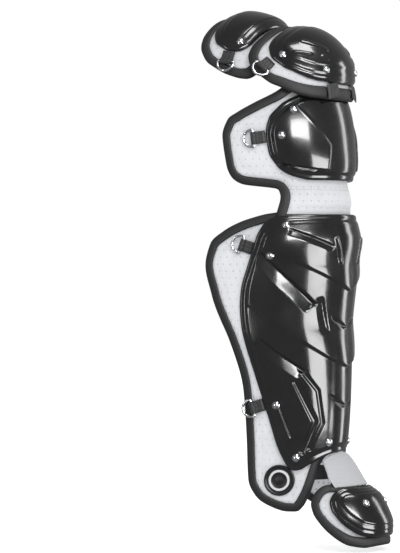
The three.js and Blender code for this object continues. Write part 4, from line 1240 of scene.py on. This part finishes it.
# %% Knee shell
KNEE_SHELL_DROP = 0.3
KNEE_SHELL_ROWS = [
    (1.0, 0.55, 0.06),
    (0.87, 0.78, 0.06),
    (0.7, 0.94, 0.04),
    (0.48, 1.0, 0),
    (0.3, 0.98, 0),
    (0.15, 0.88, 0),
    (0.06, 0.76, 0),
    (0.0, 0.62, 0),
]
KNEE_SHELL = make_cut(LEG, KNEE_SHELL_TOP, KNEE_SHELL_HEIGHT, 102, KNEE_SHELL_ROWS, 12)
SHIELD_SIDE = [(300, 70), (290, 62), (238, 30), (206, 33)]
SHIELD_HEM = [(34, 205), (47, 206), (86, 213)]


def knee_relief(across, height, edge):
    run = np.abs(across)
    sides = SHIELD_SIDE[::-1]
    side_line = np.interp(height, [p[0] for p in sides], [p[1] for p in sides])
    shield = 1.8 * smooth((run - side_line) / 2.0) * smooth((height - 203) / 2.5)
    shield *= smooth((edge - 8) / 3.0)
    ridge = stroke(across, height, [(61, 288), (30, 238), (33, 208)], 0.6, 1.3, 1.8)
    hem = stroke(across, height, SHIELD_HEM, 1.0, -1.6, 1.8)
    return shield + ridge + hem + border(edge)


build_shell("knee", KNEE_SHELL, 120, 170, 6, lambda h: -KNEE_SHELL_DROP, knee_relief)

# %% [markdown]
# The thigh shells and the toe shell are low domes with a bead round the edge. The
# lower thigh shell has three slanting ribs on each side. Each shell takes its size
# from its pad's and a margin, so the grey cloth shows evenly all round it.

# %% Thigh and toe shells
SHELL_MARGIN = 24
TOE_SHELL_MARGIN = 20


def shell_cut(shape, size, margin, shorter, rows, corner):
    """A shell's cut inside its pad's: narrower by the margin, and shorter by some margins."""
    top, height, reach = size
    return make_cut(
        shape, top - margin / 2, height - shorter * margin, reach - margin, rows, corner
    )


THIGH_LOWER_SHELL = shell_cut(
    THIGH_LOWER, THIGH_LOWER_SIZE, SHELL_MARGIN, 1, THIGH_LOWER_ROWS, 9
)
THIGH_UPPER_SHELL = shell_cut(
    THIGH_UPPER, THIGH_UPPER_SIZE, SHELL_MARGIN, 1.5, THIGH_UPPER_ROWS, 9
)
TOE_SHELL = shell_cut(TOE, TOE_SIZE, TOE_SHELL_MARGIN, 0.8, TOE_ROWS, 8)
THIGH_RIB = [(44, 12), (26, -12)]
THIGH_FINE_RIB = [(60, 4), (46, -10)]
THIGH_NUB = [(33, -19), (31, -25)]


def thigh_relief(across, height, edge):
    lines = stroke(across, height, THIGH_RIB, 3.5, 1.2, 2)
    lines += stroke(across, height, THIGH_FINE_RIB, 1.4, 0.7, 1.6)
    lines += stroke(across, height, THIGH_NUB, 3, 0.8, 1.6)
    step = 1.2 * smooth((edge - 13) / 2.5)
    return lines + step + border(edge, 5, 0.9, 0.6)


def plain_relief(across, height, edge):
    return 1.0 * smooth((edge - 11) / 2.5) + border(edge, 5, 0.9, 0.6)


build_shell("thigh_lower", THIGH_LOWER_SHELL, 90, 110, 7, None, thigh_relief)
build_shell("thigh_upper", THIGH_UPPER_SHELL, 70, 110, 7, None, plain_relief)
build_shell("toe", TOE_SHELL, 80, 100, 6, lambda h: np.full_like(h, 0.8), plain_relief)

# %% [markdown]
# Behind the knee lie four black cushions and a soft coral insert, and behind the
# shin a long knitted liner. Each is a crowned cushion: full in the middle, pulled
# in at its sewn edge, with the channels that the sewing leaves. Cloth with pressure
# would swell it too, but a rounded profile keeps the channels where they are sewn.

# %% Cushions and the calf liner
LINING_GAP = 0.9
SPACING = 1.6
KNEE_CUSHION_TOP = 300
KNEE_CUSHION_HEIGHT = 142
KNEE_CUSHION_REACH = 84
CUSHION_THICKNESS = 12
INSERT_THICKNESS = 8.4
BOLSTER_THICKNESS = 20
LINING_CELLS = 50
# A cushion's thickness at its sewn edge, as a share of the full one.
EDGE_SHARE = 0.35
RIB_PITCH = 15.0
LINING_STEPS = (0, 0.5, 1.5, 3, 5)
SQUARE = [(1.0, 0.94, 0), (0.85, 1.0, 0), (0.15, 1.0, 0), (0.0, 0.94, 0)]
BOLSTER = [(1.0, 0.6, 0), (0.85, 0.95, 0), (0.5, 1.0, 0), (0.15, 0.9, 0), (0.0, 0.55, 0)]
PENTAGON = [(1.0, 0.9, 0), (0.86, 1.0, 0), (0.5, 0.95, 0), (0.2, 0.66, 0), (0.0, 0.36, 0)]
LINER_ROWS = [
    (1.0, 0.82, -0.03),
    (0.94, 0.92, -0.02),
    (0.75, 1.0, 0),
    (0.4, 0.9, 0),
    (0.1, 0.72, 0.02),
    (0.0, 0.56, 0.02),
]


def build_lining(name, cut, thickness, material, channels=None):
    across, height = cells_of(cut, LINING_CELLS, LINING_CELLS, 0.0, LINING_STEPS)[:2]
    edge = distance_to(outline_of(cut, 2.0, 0.5), across, height)
    crown = np.sqrt(np.clip(1 - (1 - np.clip(edge / SWELL_RUN, 0, 1)) ** 2, 0, 1))
    puff = thickness * (EDGE_SHARE + (1 - EDGE_SHARE) * crown)
    if channels:
        puff = puff - channels(across, height)
    outer = np.full_like(puff, -LINING_GAP) - 0.4 * (1 - crown)
    quads = grid_quads(*height.shape)
    obj = closed_sheet(
        f"{name}_soft", cut["form"], across, height, -LINING_GAP - puff, outer, quads
    )
    return finish_piece(obj, [material], "guard", [name])


def field(share):
    return KNEE_CUSHION_TOP - KNEE_CUSHION_HEIGHT * (1 - share)


def cushion_cut(top, bottom, reach, rows, corner, centre=0.0):
    return make_cut(
        LEG,
        field(top) - SPACING / 2,
        field(top) - field(bottom) - SPACING,
        KNEE_CUSHION_REACH * reach - SPACING / 2,
        rows,
        corner,
        KNEE_CUSHION_REACH * centre,
    )


def ribs_across(across, height):
    """Sewn channels that run across the cushion, evenly spaced."""
    return 1.6 * np.exp(-(((height % RIB_PITCH) - RIB_PITCH / 2) / 1.3) ** 2)


def liner_channels(across, height):
    return 2.0 * np.exp(-(((np.abs(across) - 17) / 1.5) ** 2))


print("the cushions' field:", 2 * KNEE_CUSHION_REACH, "by", KNEE_CUSHION_HEIGHT, "mm")

# %% The five cushions and the liner
# Columns: top and bottom as shares of the field, reach and centre as shares of its
# reach, the rows of the outline, its corner and the thickness.
CUSHIONS = {
    "knee_top_cushion": (1.0, 0.63, 0.56, 0.0, SQUARE, 10, CUSHION_THICKNESS),
    "knee_insert": (0.63, 0.29, 0.5, 0.0, PENTAGON, 8, INSERT_THICKNESS),
    "knee_lower_cushion": (0.29, 0.05, 0.54, 0.0, SQUARE, 8, CUSHION_THICKNESS),
    "knee_bolster_left": (0.92, 0.22, 0.2, -0.79, BOLSTER, 8, BOLSTER_THICKNESS),
    "knee_bolster_right": (0.92, 0.22, 0.2, 0.79, BOLSTER, 8, BOLSTER_THICKNESS),
}
for name, (top, bottom, reach, centre, rows, corner, thickness) in CUSHIONS.items():
    is_insert = name == "knee_insert"
    build_lining(
        name,
        cushion_cut(top, bottom, reach, rows, corner, centre),
        thickness,
        coral_foam if is_insert else brushed_knit,
        ribs_across if name == "knee_top_cushion" else None,
    )
calf_cut = make_cut(LEG, 96, 226, 84, LINER_ROWS, 12)
build_lining("calf_liner", calf_cut, CUSHION_THICKNESS, brushed_knit, liner_channels)

# %% [markdown]
# The cushions are sewn to one black knit panel, which shows in the seams between
# them. The cushions could be widened until they meet, but then the seams would go,
# so a thin sheet lies on the pad's inner face behind them.

# %% Backing panel of the knee cushions
PANEL_INNER = -0.75
PANEL_OUTER = -0.1
PANEL_ROWS = [
    (1.0, 0.72, 0.03),
    (0.92, 0.9, 0.01),
    (0.5, 1.0, 0),
    (0.2, 0.96, 0),
    (0.0, 0.7, -0.03),
]
panel_cut = make_cut(
    LEG,
    KNEE_CUSHION_TOP - 1,
    KNEE_CUSHION_HEIGHT - 4,
    KNEE_CUSHION_REACH * 0.93,
    PANEL_ROWS,
    14,
)
across, height = cells_of(panel_cut, 40, 40)[:2]
panel_quads = grid_quads(*height.shape)
panel = closed_sheet(
    "knee_cushion_panel", LEG, across, height, PANEL_INNER, PANEL_OUTER, panel_quads
)
finish_piece(panel, [brushed_knit], "guard", [])

# %% [markdown]
# The tongue over the instep is a soft pad caught between two shells. Its closed
# form is already in the construction, so a copy is remeshed and relaxed into cloth,
# which is quicker than a new sheet and can't leave the place that the shells give it.

# %% Ankle tongue
def soft_copy(node, name, voxel_mm, smoothing):
    source = frame["nodes"][node]
    obj = bpy.data.objects.new(name, source.data.copy())
    bpy.context.scene.collection.objects.link(obj)
    work = bmesh.new()
    work.from_mesh(obj.data)
    bmesh.ops.remove_doubles(work, verts=work.verts, dist=1e-5)
    work.to_mesh(obj.data)
    work.free()
    obj.data.materials.clear()
    remesh = obj.modifiers.new("remesh", "REMESH")
    remesh.mode = "VOXEL"
    remesh.voxel_size = voxel_mm * MM
    relax = obj.modifiers.new("relax", "SMOOTH")
    relax.iterations = smoothing
    result = bpy.data.meshes.new_from_object(
        obj.evaluated_get(bpy.context.evaluated_depsgraph_get())
    )
    obj.modifiers.clear()
    obj.data = result
    result.polygons.foreach_set("use_smooth", [True] * len(result.polygons))
    places = np.zeros(len(result.vertices) * 3)
    result.vertices.foreach_get("co", places)
    write_sheet_uvs(result, places.reshape(-1, 3)[:, (0, 2)])
    return obj


tongue = soft_copy("ankle_tongue", "instep_tongue", 1.6, 6)
finish_piece(tongue, [smooth_knit], "guard", ["ankle_tongue"])

# %% [markdown]
# Webbing is woven flat, so a strap is a thin ribbon. A curve could carry it, but it
# would tilt where the leg turns. So its middle line is laid along a route, a row of
# points stands across it at each station, and the wall goes half to each side.
# Stations between the chosen ones follow a smooth curve.

# %% Webbing ribbons
WEBBING_THICKNESS = 1.6
WEBBING_WIDTH = 19
STRAP_OFFSET = 26
STRAP_LAP = 20
LINK_WIDTH = 40


def smooth_route(stations, count):
    """Points on a smooth curve through the stations, evenly shared between them."""
    rows = np.asarray(stations, float)
    padded = np.vstack([2 * rows[:1] - rows[1:2], rows, 2 * rows[-1:] - rows[-2:-1]])
    made = []
    for k in range(len(rows) - 1):
        p0, p1, p2, p3 = padded[k : k + 4]
        for q in np.linspace(0, 1, count, endpoint=False):
            made.append(
                0.5
                * (
                    2 * p1
                    + (p2 - p0) * q
                    + (2 * p0 - 5 * p1 + 4 * p2 - p3) * q**2
                    + (3 * p1 - p0 - 3 * p2 + p3) * q**3
                )
            )
    made.append(rows[-1])
    return np.array(made)


sample_route = smooth_route([(0, 0, 0), (1, 0, 0), (1, 1, 0)], 8)
print("a sample route:", len(sample_route), "points")

# %% Closed ribbons
def ribbon(name, grid, thickness_mm):
    """A closed ribbon over a grid of places, in metres, with thin rounded edges."""
    grid = np.asarray(grid, float)
    down = np.gradient(grid, axis=0)
    sideways = np.gradient(grid, axis=1)
    out = np.cross(down, sideways)
    out /= np.linalg.norm(out, axis=2)[:, :, None]
    rows, columns = grid.shape[:2]
    thin = np.ones(columns)
    thin[[0, -1]] = 0.45
    half = out * (thickness_mm * MM / 2) * thin[None, :, None]
    count = rows * columns
    quads = grid_quads(rows, columns)
    points = np.vstack([(grid + half).reshape(-1, 3), (grid - half).reshape(-1, 3)])
    faces = list(quads) + [tuple(v + count for v in reversed(q)) for q in quads]
    edge = [i * columns for i in range(rows)]
    edge += [(rows - 1) * columns + j for j in range(1, columns)]
    edge += [i * columns + columns - 1 for i in range(rows - 2, -1, -1)]
    edge += list(range(columns - 2, 0, -1))
    for a, b in zip(edge, edge[1:] + edge[:1]):
        faces.append((b, a, a + count, b + count))
    along = np.cumsum(np.linalg.norm(down, axis=2)[:, columns // 2])
    width = np.linalg.norm(grid[:, -1] - grid[:, 0], axis=1).mean()
    uv_grid = np.stack(np.meshgrid(np.linspace(0, width, columns), along), axis=-1).reshape(-1, 2)
    obj = make_mesh(name, points, faces, np.tile(uv_grid, (2, 1)))
    recalculate(obj)
    return obj


print("webbing:", WEBBING_WIDTH, "mm wide and", WEBBING_THICKNESS, "mm thick")

# %% Straps behind the knee and the thigh
# Places across a strap, as shares of its width: close together at its two edges.
SHARES = np.array([-1, -0.94, -0.6, -0.2, 0.2, 0.6, 0.94, 1]) / 2


def laid_strap(node, name, route, centre, width):
    stations = []
    for share in SHARES:
        places = [on_form(shape, centre + share * width, h, lift) for shape, h, lift in route]
        stations.append(smooth_route(places, 8))
    obj = ribbon(name, np.stack(stations, axis=1), WEBBING_THICKNESS)
    return finish_piece(obj, [webbing_cloth], "guard", [node])


behind = -LINING_GAP - WEBBING_THICKNESS / 2
knee_route = [
    (THIGH_LOWER, 0, 2 * behind),
    (THIGH_LOWER, -STRAP_LAP / 2, 2 * behind),
    (THIGH_LOWER, -STRAP_LAP, 2 * behind),
    (LEG, KNEE_PAD_TOP + WEBBING_THICKNESS * 2, behind),
    (LEG, KNEE_PAD_TOP - STRAP_LAP / 2, 1.2 * behind),
    (LEG, KNEE_CUSHION_TOP + EDGE_GAP, 1.2 * behind),
]
laid_strap("knee_strap_left", "knee_webbing_left", knee_route, -STRAP_OFFSET, WEBBING_WIDTH)
laid_strap("knee_strap_right", "knee_webbing_right", knee_route, STRAP_OFFSET, WEBBING_WIDTH)
THIGH_UPPER_HEM = THIGH_UPPER_SIZE[0] - THIGH_UPPER_SIZE[1]
link_route = [
    (THIGH_LOWER, 0.3 * THIGH_LOWER_SIZE[0], 1.6 * behind),
    (THIGH_LOWER, 0.55 * THIGH_LOWER_SIZE[0], 1.6 * behind),
    (THIGH_UPPER, THIGH_UPPER_HEM - 2 * BINDING_GAP, 2 * behind),
    (THIGH_UPPER, THIGH_UPPER_HEM + STRAP_LAP / 2, behind),
    (THIGH_UPPER, THIGH_UPPER_HEM + STRAP_LAP, behind),
]
laid_strap("thigh_link", "thigh_link_webbing", link_route, 0, LINK_WIDTH)

# %% Front tabs and the ankle strap
TAB_LIFT = PAD_THICKNESS + 2 * EDGE_GAP + WEBBING_THICKNESS / 2 + 0.8
PAD_HEM = THIGH_LOWER_SIZE[0] - THIGH_LOWER_SIZE[1]
SHELL_HEM = PAD_HEM + SHELL_MARGIN / 2
front_route = [
    (THIGH_LOWER, SHELL_HEM + 3, TAB_LIFT),
    (THIGH_LOWER, (SHELL_HEM + PAD_HEM) / 2, TAB_LIFT + 0.4),
    (THIGH_LOWER, PAD_HEM - EDGE_GAP, TAB_LIFT),
]
laid_strap("thigh_tab_left", "thigh_webbing_left", front_route, -STRAP_OFFSET, WEBBING_WIDTH)
laid_strap("thigh_tab_right", "thigh_webbing_right", front_route, STRAP_OFFSET, WEBBING_WIDTH)

ANKLE_STRAP_TOP = -174
ANKLE_STRAP_REACH = 48
strap_lift = -BINDING_WALL - BINDING_GAP - WEBBING_THICKNESS / 2
strap_runs = np.linspace(-ANKLE_STRAP_REACH, ANKLE_STRAP_REACH, 40)
strap_grid = on_form(
    LEG,
    strap_runs[:, None],
    ANKLE_STRAP_TOP - WEBBING_WIDTH / 2 + SHARES[None, :] * WEBBING_WIDTH,
    strap_lift,
)
ankle_strap = ribbon("ankle_webbing", strap_grid, WEBBING_THICKNESS)
finish_piece(ankle_strap, [webbing_cloth], "guard", ["ankle_strap"])

# %% [markdown]
# A D-ring is bent wire, so it is a round section that travels round its path. It
# swings on its straight bar in the eye of a folded tab. Each ring could be placed by
# hand, but it has to turn about its joint, so the joint gives the bar's place and
# direction, and the ring's own solid tells which way it points.

# %% D-rings and their tabs
RING_WIRE = 3.4
RING_WIDTH = 26
RING_DEPTH = 13
RING_CLEARANCE = 0.35
TAB_WIDTH = 16
TAB_LENGTH = 15
EYE_HOLE = RING_WIRE / 2 + RING_CLEARANCE
EYE_RADIUS = EYE_HOLE + WEBBING_THICKNESS
# Columns: out from the bar as a share of the depth, side as a share of half the width.
RING_PATH = [
    (0, -0.74),
    (0, -0.3),
    (0, 0.3),
    (0, 0.74),
    (0.08, 0.96),
    (0.42, 0.92),
    (0.78, 0.66),
    (0.98, 0.26),
    (0.98, -0.26),
    (0.78, -0.66),
    (0.42, -0.92),
    (0.08, -0.96),
]


def closed_route(stations, count):
    rows = np.asarray(stations, float)
    looped = np.vstack([rows[-1:], rows, rows[:2]])
    made = smooth_route(looped, count)
    return made[count : count * (len(rows) + 1)]


def wire_loop(name, path, radius, sides):
    """A round wire along a closed path, in metres."""
    along = np.roll(path, -1, axis=0) - np.roll(path, 1, axis=0)
    along /= np.linalg.norm(along, axis=1)[:, None]
    flat = np.cross(path[1] - path[0], path[len(path) // 2] - path[0])
    flat /= np.linalg.norm(flat)
    side = np.cross(along, flat)
    turns = np.linspace(0, 2 * math.pi, sides, endpoint=False)
    points = np.stack(
        [path + radius * (math.cos(t) * side + math.sin(t) * flat) for t in turns], axis=1
    ).reshape(-1, 3)
    obj = make_mesh(name, points, tube_quads(len(path), sides))
    recalculate(obj)
    return obj


print("rings:", RING_WIDTH, "by", RING_DEPTH, "mm, wire", RING_WIRE, "mm")

# %% The fold of a tab
def tab_line():
    """The fold's middle line: along the pad, round the bar and back to the tail."""
    middle = EYE_HOLE + WEBBING_THICKNESS / 2
    eye = TAB_LENGTH / 2
    turns = np.linspace(-math.pi / 2, math.pi * 0.98, 18)
    loop = [(eye + middle * math.cos(a), EYE_RADIUS + middle * math.sin(a)) for a in turns]
    start = [(-eye, WEBBING_THICKNESS / 2), (0, WEBBING_THICKNESS / 2)]
    back = [(eye - middle - 2, 1.6 * WEBBING_THICKNESS), (-eye, 1.5 * WEBBING_THICKNESS)]
    return start + loop + back


print("a tab's fold has", len(tab_line()), "points")

# %% A ring and a tab at each joint
for joint in frame["joints"]:
    child = joint["child"]
    bar = np.array(joint["pos_m"])
    axis = np.array(joint["axis"])
    axis = axis / np.linalg.norm(axis)
    low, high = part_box(child)
    away = np.array((low + high) / 2) - bar
    away = away - (away @ axis) * axis
    away /= np.linalg.norm(away)
    out = np.cross(axis, away)
    half_width = (RING_WIDTH - RING_WIRE) / 2
    stations = [
        bar + (o * RING_DEPTH * away + side * half_width * axis) * MM for o, side in RING_PATH
    ]
    wire = wire_loop(f"{child}_wire", closed_route(stations, 6), RING_WIRE / 2 * MM, 14)
    finish_piece(wire, [plated_steel], child, [child])
    base = bar - (TAB_LENGTH / 2 * away + EYE_RADIUS * out) * MM
    line = smooth_route([base + (a * away + o * out) * MM for a, o in tab_line()], 3)
    grid = np.stack([line + share * TAB_WIDTH * axis * MM for share in SHARES], axis=1)
    tab_node = child.replace("_ring", "_tab")
    tab = ribbon(f"{tab_node}_webbing", grid, WEBBING_THICKNESS)
    finish_piece(tab, [webbing_cloth], "guard", [tab_node])

# %% [markdown]
# The badge is a moulded rubber disc on the outer ankle lobe. It is plain: a raised
# rim, one pale ring and a low button, all turned about one centre. A Screw modifier
# could turn it, but it has to bend with the lobe, so its rings lie on the leg's form.

# %% Ankle badge
BADGE_RADIUS = 20
BADGE_SEAT = PAD_THICKNESS - RIM_INSET + EDGE_GAP
# Columns: radius as a share of the badge's, lift above the seat, 1 where it is pale.
BADGE_PROFILE = [
    (0.0, 2.2, 0),
    (0.14, 2.1, 0),
    (0.22, 1.4, 0),
    (0.5, 1.4, 0),
    (0.53, 2.0, 1),
    (0.58, 2.1, 1),
    (0.64, 2.1, 1),
    (0.68, 2.0, 1),
    (0.71, 1.4, 0),
    (0.84, 1.4, 0),
    (0.87, 2.6, 0),
    (0.93, 2.9, 0),
    (0.98, 2.4, 0),
    (1.0, 1.4, 0),
]
BADGE_SIDES = 72


def build_badge():
    centre_run = -0.41 * SHIN_PAD_REACH
    centre_height = SHIN_PAD_BOTTOM + 0.1 * SHIN_PAD_HEIGHT
    across, height, lift = [centre_run], [centre_height], [BADGE_PROFILE[0][1]]
    turns = np.linspace(0, 2 * math.pi, BADGE_SIDES, endpoint=False)
    for share, rise, mark in BADGE_PROFILE[1:]:
        across += list(centre_run + share * BADGE_RADIUS * np.cos(turns))
        height += list(centre_height + share * BADGE_RADIUS * np.sin(turns))
        lift += [rise] * BADGE_SIDES
    quads, pale = [], []
    for k in range(BADGE_SIDES):
        quads.append((0, 1 + k, 1 + (k + 1) % BADGE_SIDES))
        pale.append(0)
    for ring in range(len(BADGE_PROFILE) - 2):
        near, far = 1 + ring * BADGE_SIDES, 1 + (ring + 1) * BADGE_SIDES
        mark = BADGE_PROFILE[ring + 1][2] * BADGE_PROFILE[ring + 2][2]
        for k in range(BADGE_SIDES):
            m = (k + 1) % BADGE_SIDES
            quads.append((near + k, far + k, far + m, near + m))
            pale.append(mark)
    outer = BADGE_SEAT + np.array(lift)
    obj = closed_sheet("ankle_badge_disc", LEG, across, height, BADGE_SEAT, outer, quads)
    paint_faces(obj, 0, pale)
    return obj


finish_piece(build_badge(), [satin_rubber, pale_rubber], "guard", ["ankle_badge"])

# %% [markdown]
# Rivets and stitches repeat, so Geometry Nodes place them. Copies could be made in a
# loop, but a tree keeps one shape and a few sizes for all of them. A mesh of bare
# points says where they stand, with two attributes for the way that each faces and
# runs. The tree puts one small shape on each point, and the result is a plain mesh.

# %% A tree that stands a shape on each point
def point_field(name, places, facing, along):
    mesh = bpy.data.meshes.new(name)
    mesh.from_pydata([tuple(p) for p in places], [], [])
    for key, values in (("facing", facing), ("along", along)):
        layer = mesh.attributes.new(key, "FLOAT_VECTOR", "POINT")
        layer.data.foreach_set("vector", np.asarray(values, np.float32).ravel())
    obj = bpy.data.objects.new(name, mesh)
    bpy.context.scene.collection.objects.link(obj)
    return obj

# %% The tree
def standing_tree(name, sizes, shape_of, material):
    """A node tree with a named input for each size. shape_of adds the shape's nodes."""
    tree = bpy.data.node_groups.new(name, "GeometryNodeTree")
    tree.interface.new_socket("Geometry", in_out="INPUT", socket_type="NodeSocketGeometry")
    for label, value in sizes.items():
        socket = tree.interface.new_socket(label, in_out="INPUT", socket_type="NodeSocketFloat")
        socket.default_value = value
    tree.interface.new_socket("Geometry", in_out="OUTPUT", socket_type="NodeSocketGeometry")
    entry = add_node(tree, "NodeGroupInput")
    shape = shape_of(tree, entry)
    facing, along = (
        add_node(
            tree,
            "GeometryNodeInputNamedAttribute",
            {"data_type": "FLOAT_VECTOR"},
            {"Name": label},
            "Attribute",
        )
        for label in ("facing", "along")
    )
    upright = add_node(
        tree, "FunctionNodeAlignRotationToVector", {"axis": "Z"}, {"Vector": facing}, "Rotation"
    )
    turned = add_node(
        tree,
        "FunctionNodeAlignRotationToVector",
        {"axis": "X", "pivot_axis": "Z"},
        {"Rotation": upright, "Vector": along},
        "Rotation",
    )
    placed = add_node(
        tree,
        "GeometryNodeInstanceOnPoints",
        inputs={"Points": entry.outputs["Geometry"], "Instance": shape, "Rotation": turned},
        out="Instances",
    )
    real = add_node(
        tree, "GeometryNodeRealizeInstances", inputs={"Geometry": placed}, out="Geometry"
    )
    shaded = add_node(tree, "GeometryNodeSetShadeSmooth", inputs={"Geometry": real}, out="Geometry")
    painted = add_node(
        tree,
        "GeometryNodeSetMaterial",
        inputs={"Geometry": shaded, "Material": material},
        out="Geometry",
    )
    add_node(tree, "NodeGroupOutput", inputs={"Geometry": painted})
    return tree

# %% From a tree to a plain mesh
def plain_from(obj, tree, sizes):
    """Runs a tree on an object and keeps its result as a plain mesh."""
    modifier = obj.modifiers.new("nodes", "NODES")
    modifier.node_group = tree
    for socket in tree.interface.items_tree:
        if socket.in_out == "INPUT" and socket.name in sizes:
            modifier[socket.identifier] = sizes[socket.name]
    made = bpy.data.meshes.new_from_object(
        obj.evaluated_get(bpy.context.evaluated_depsgraph_get())
    )
    obj.modifiers.clear()
    obj.data = made
    return obj

# %% [markdown]
# A rivet is a domed steel head on a thin washer. The relief has changed the shell
# under it, so a ray finds the moulding's surface below its place in the construction.

# %% Rivets
RIVET_RADIUS = 4.2
RIVET_HEIGHT = 2.6
WASHER_HEIGHT = 0.9
WASHER_SHARE = 1.22


def rivet_shape(tree, entry):
    radius = entry.outputs["Head radius"]
    ball = add_node(
        tree,
        "GeometryNodeMeshUVSphere",
        inputs={"Segments": 20, "Rings": 12, "Radius": 1.0},
        out="Mesh",
    )
    size = add_node(
        tree,
        "ShaderNodeCombineXYZ",
        inputs={"X": radius, "Y": radius, "Z": entry.outputs["Head height"]},
        out="Vector",
    )
    dome = add_node(
        tree, "GeometryNodeTransform", inputs={"Geometry": ball, "Scale": size}, out="Geometry"
    )
    wide = add_node(tree, MATH, {"operation": "MULTIPLY"}, {0: radius, 1: WASHER_SHARE}, "Value")
    washer = add_node(
        tree,
        "GeometryNodeMeshCylinder",
        inputs={"Vertices": 24, "Radius": wide, "Depth": entry.outputs["Washer height"]},
        out="Mesh",
    )
    joined = add_node(tree, "GeometryNodeJoinGeometry", inputs={"Geometry": dome})
    tree.links.new(washer, joined.inputs["Geometry"])
    return joined.outputs["Geometry"]


print("rivet heads:", 2 * RIVET_RADIUS, "mm wide")

# %% Where the rivets stand
rivet_nodes = sorted(n for n in frame["nodes"] if n.startswith("rivet_"))
SHELLS = ("thigh_lower", "thigh_upper", "shin", "knee", "toe")
# How far outside the shell the ray towards it starts.
PROBE = 0.018
# Rivets that only the moulding shows: the form, run across and height.
EXTRA_RIVETS = [("knee", 66, 283), ("knee", -66, 283), ("shin", 21, -144), ("shin", -21, -144)]


def on_moulding(shell, near):
    """The outer surface of a moulding next to a place, and the way that it faces."""
    spot, normal = bpy.data.objects[f"{shell}_padding"].closest_point_on_mesh(near)[1:3]
    if normal.dot(near - spot) < 0:
        normal = -normal
    moulding = bpy.data.objects[f"{shell}_moulding"]
    hit, outer = moulding.ray_cast(near + PROBE * normal, -normal)[:2]
    return (outer if hit else near), normal


stands = []
for node in rivet_nodes:
    shell = next(k for k in SHELLS if node.startswith(f"rivet_{k}"))
    low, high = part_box(node)
    stands.append(on_moulding(shell, (low + high) / 2))
for shell, run, rise in EXTRA_RIVETS:
    near = on_form(LEG, run, rise, PAD_THICKNESS + 8)
    stands.append(on_moulding(shell, Vector(near)))
places, facings = zip(*stands)
rivets = point_field("rivets", places, facings, [(0, 0, 1)] * len(places))
rivet_sizes = {
    "Head radius": RIVET_RADIUS * MM,
    "Head height": RIVET_HEIGHT * MM,
    "Washer height": WASHER_HEIGHT * MM,
}
rivet_tree = standing_tree("rivet heads", rivet_sizes, rivet_shape, plated_steel)
plain_from(rivets, rivet_tree, rivet_sizes)
finish_piece(rivets, [], "guard", rivet_nodes)

# %% [markdown]
# A row of stitches holds each tape, about 2 mm in from its inner edge, on the outer
# and the inner side. Each stitch is a short fat bead of thread. A bump could draw
# them, but real beads catch the light at the outline.

# %% Stitches along the tape
STITCH_PITCH = 4.0
STITCH_LENGTH = 2.9
STITCH_THICKNESS = 0.9
STITCH_INSET = 7.6


def stitch_shape(tree, entry):
    bead = add_node(
        tree,
        "GeometryNodeMeshUVSphere",
        inputs={"Segments": 6, "Rings": 4, "Radius": 0.5},
        out="Mesh",
    )
    long, thick = entry.outputs["Length"], entry.outputs["Thickness"]
    size = add_node(
        tree, "ShaderNodeCombineXYZ", inputs={"X": long, "Y": thick, "Z": thick}, out="Vector"
    )
    return add_node(
        tree, "GeometryNodeTransform", inputs={"Geometry": bead, "Scale": size}, out="Geometry"
    )


def stitch_line(cut, lift, hem, side):
    """Places, facings and runs of the stitches on one side of a tape."""
    outline = outline_of(cut, STITCH_PITCH, hem=hem)
    spot = outline + inward_of(outline) * STITCH_INSET
    base = lift(outline[:, 1]) if lift else 0.0
    half = RIM_THICKNESS / 2 + BINDING_GAP + BINDING_WALL + 0.3
    level = base + PAD_THICKNESS / 2 + side * half
    here = on_form(cut["form"], spot[:, 0], spot[:, 1], level)
    above = on_form(cut["form"], spot[:, 0], spot[:, 1], level + side)
    facing = above - here
    facing /= np.linalg.norm(facing, axis=1)[:, None]
    along = np.roll(here, -1, axis=0) - np.roll(here, 1, axis=0)
    along /= np.linalg.norm(along, axis=1)[:, None]
    return here, facing, along


rows = [
    stitch_line(cut, lift, hem, side)
    for cut, lift, hem in (
        (SHIN_PAD, None, over_arch),
        (KNEE_PAD, neck_lift, None),
        (THIGH_LOWER_PAD, None, None),
        (THIGH_UPPER_PAD, None, None),
        (TOE_PAD, None, None),
    )
    for side in (1, -1)
]
stitches = point_field("tape_stitches", *(np.concatenate([r[k] for r in rows]) for k in range(3)))
stitch_sizes = {"Length": STITCH_LENGTH * MM, "Thickness": STITCH_THICKNESS * MM}
stitch_tree = standing_tree("stitches", stitch_sizes, stitch_shape, thread_dark)
plain_from(stitches, stitch_tree, stitch_sizes)
finish_piece(stitches, [], "guard", [])

# %% [markdown]
# The neck's cloth is turned over and sewn along its top, in a pale thread. The same
# stitch is used as on the tape, with one row laid straight across the neck.

# %% Seam across the neck
NECK_SEAM_HEIGHT = 181
NECK_SEAM_REACH = 74
seam_runs = np.arange(-NECK_SEAM_REACH, NECK_SEAM_REACH, STITCH_PITCH)
seam_level = neck_lift(NECK_SEAM_HEIGHT) + PAD_THICKNESS - RIM_INSET + 0.15
seam_spots = on_form(LEG, seam_runs, NECK_SEAM_HEIGHT, seam_level)
seam_above = on_form(LEG, seam_runs, NECK_SEAM_HEIGHT, seam_level + 1)
seam_faces = (seam_above - seam_spots) / MM
seam_ways = np.gradient(seam_spots, axis=0)
seam_ways /= np.linalg.norm(seam_ways, axis=1)[:, None]
neck_stitches = point_field("neck_stitches", seam_spots, seam_faces, seam_ways)
pale_tree = standing_tree("pale stitches", stitch_sizes, stitch_shape, thread_light)
plain_from(neck_stitches, pale_tree, stitch_sizes)
finish_piece(neck_stitches, [], "guard", [])
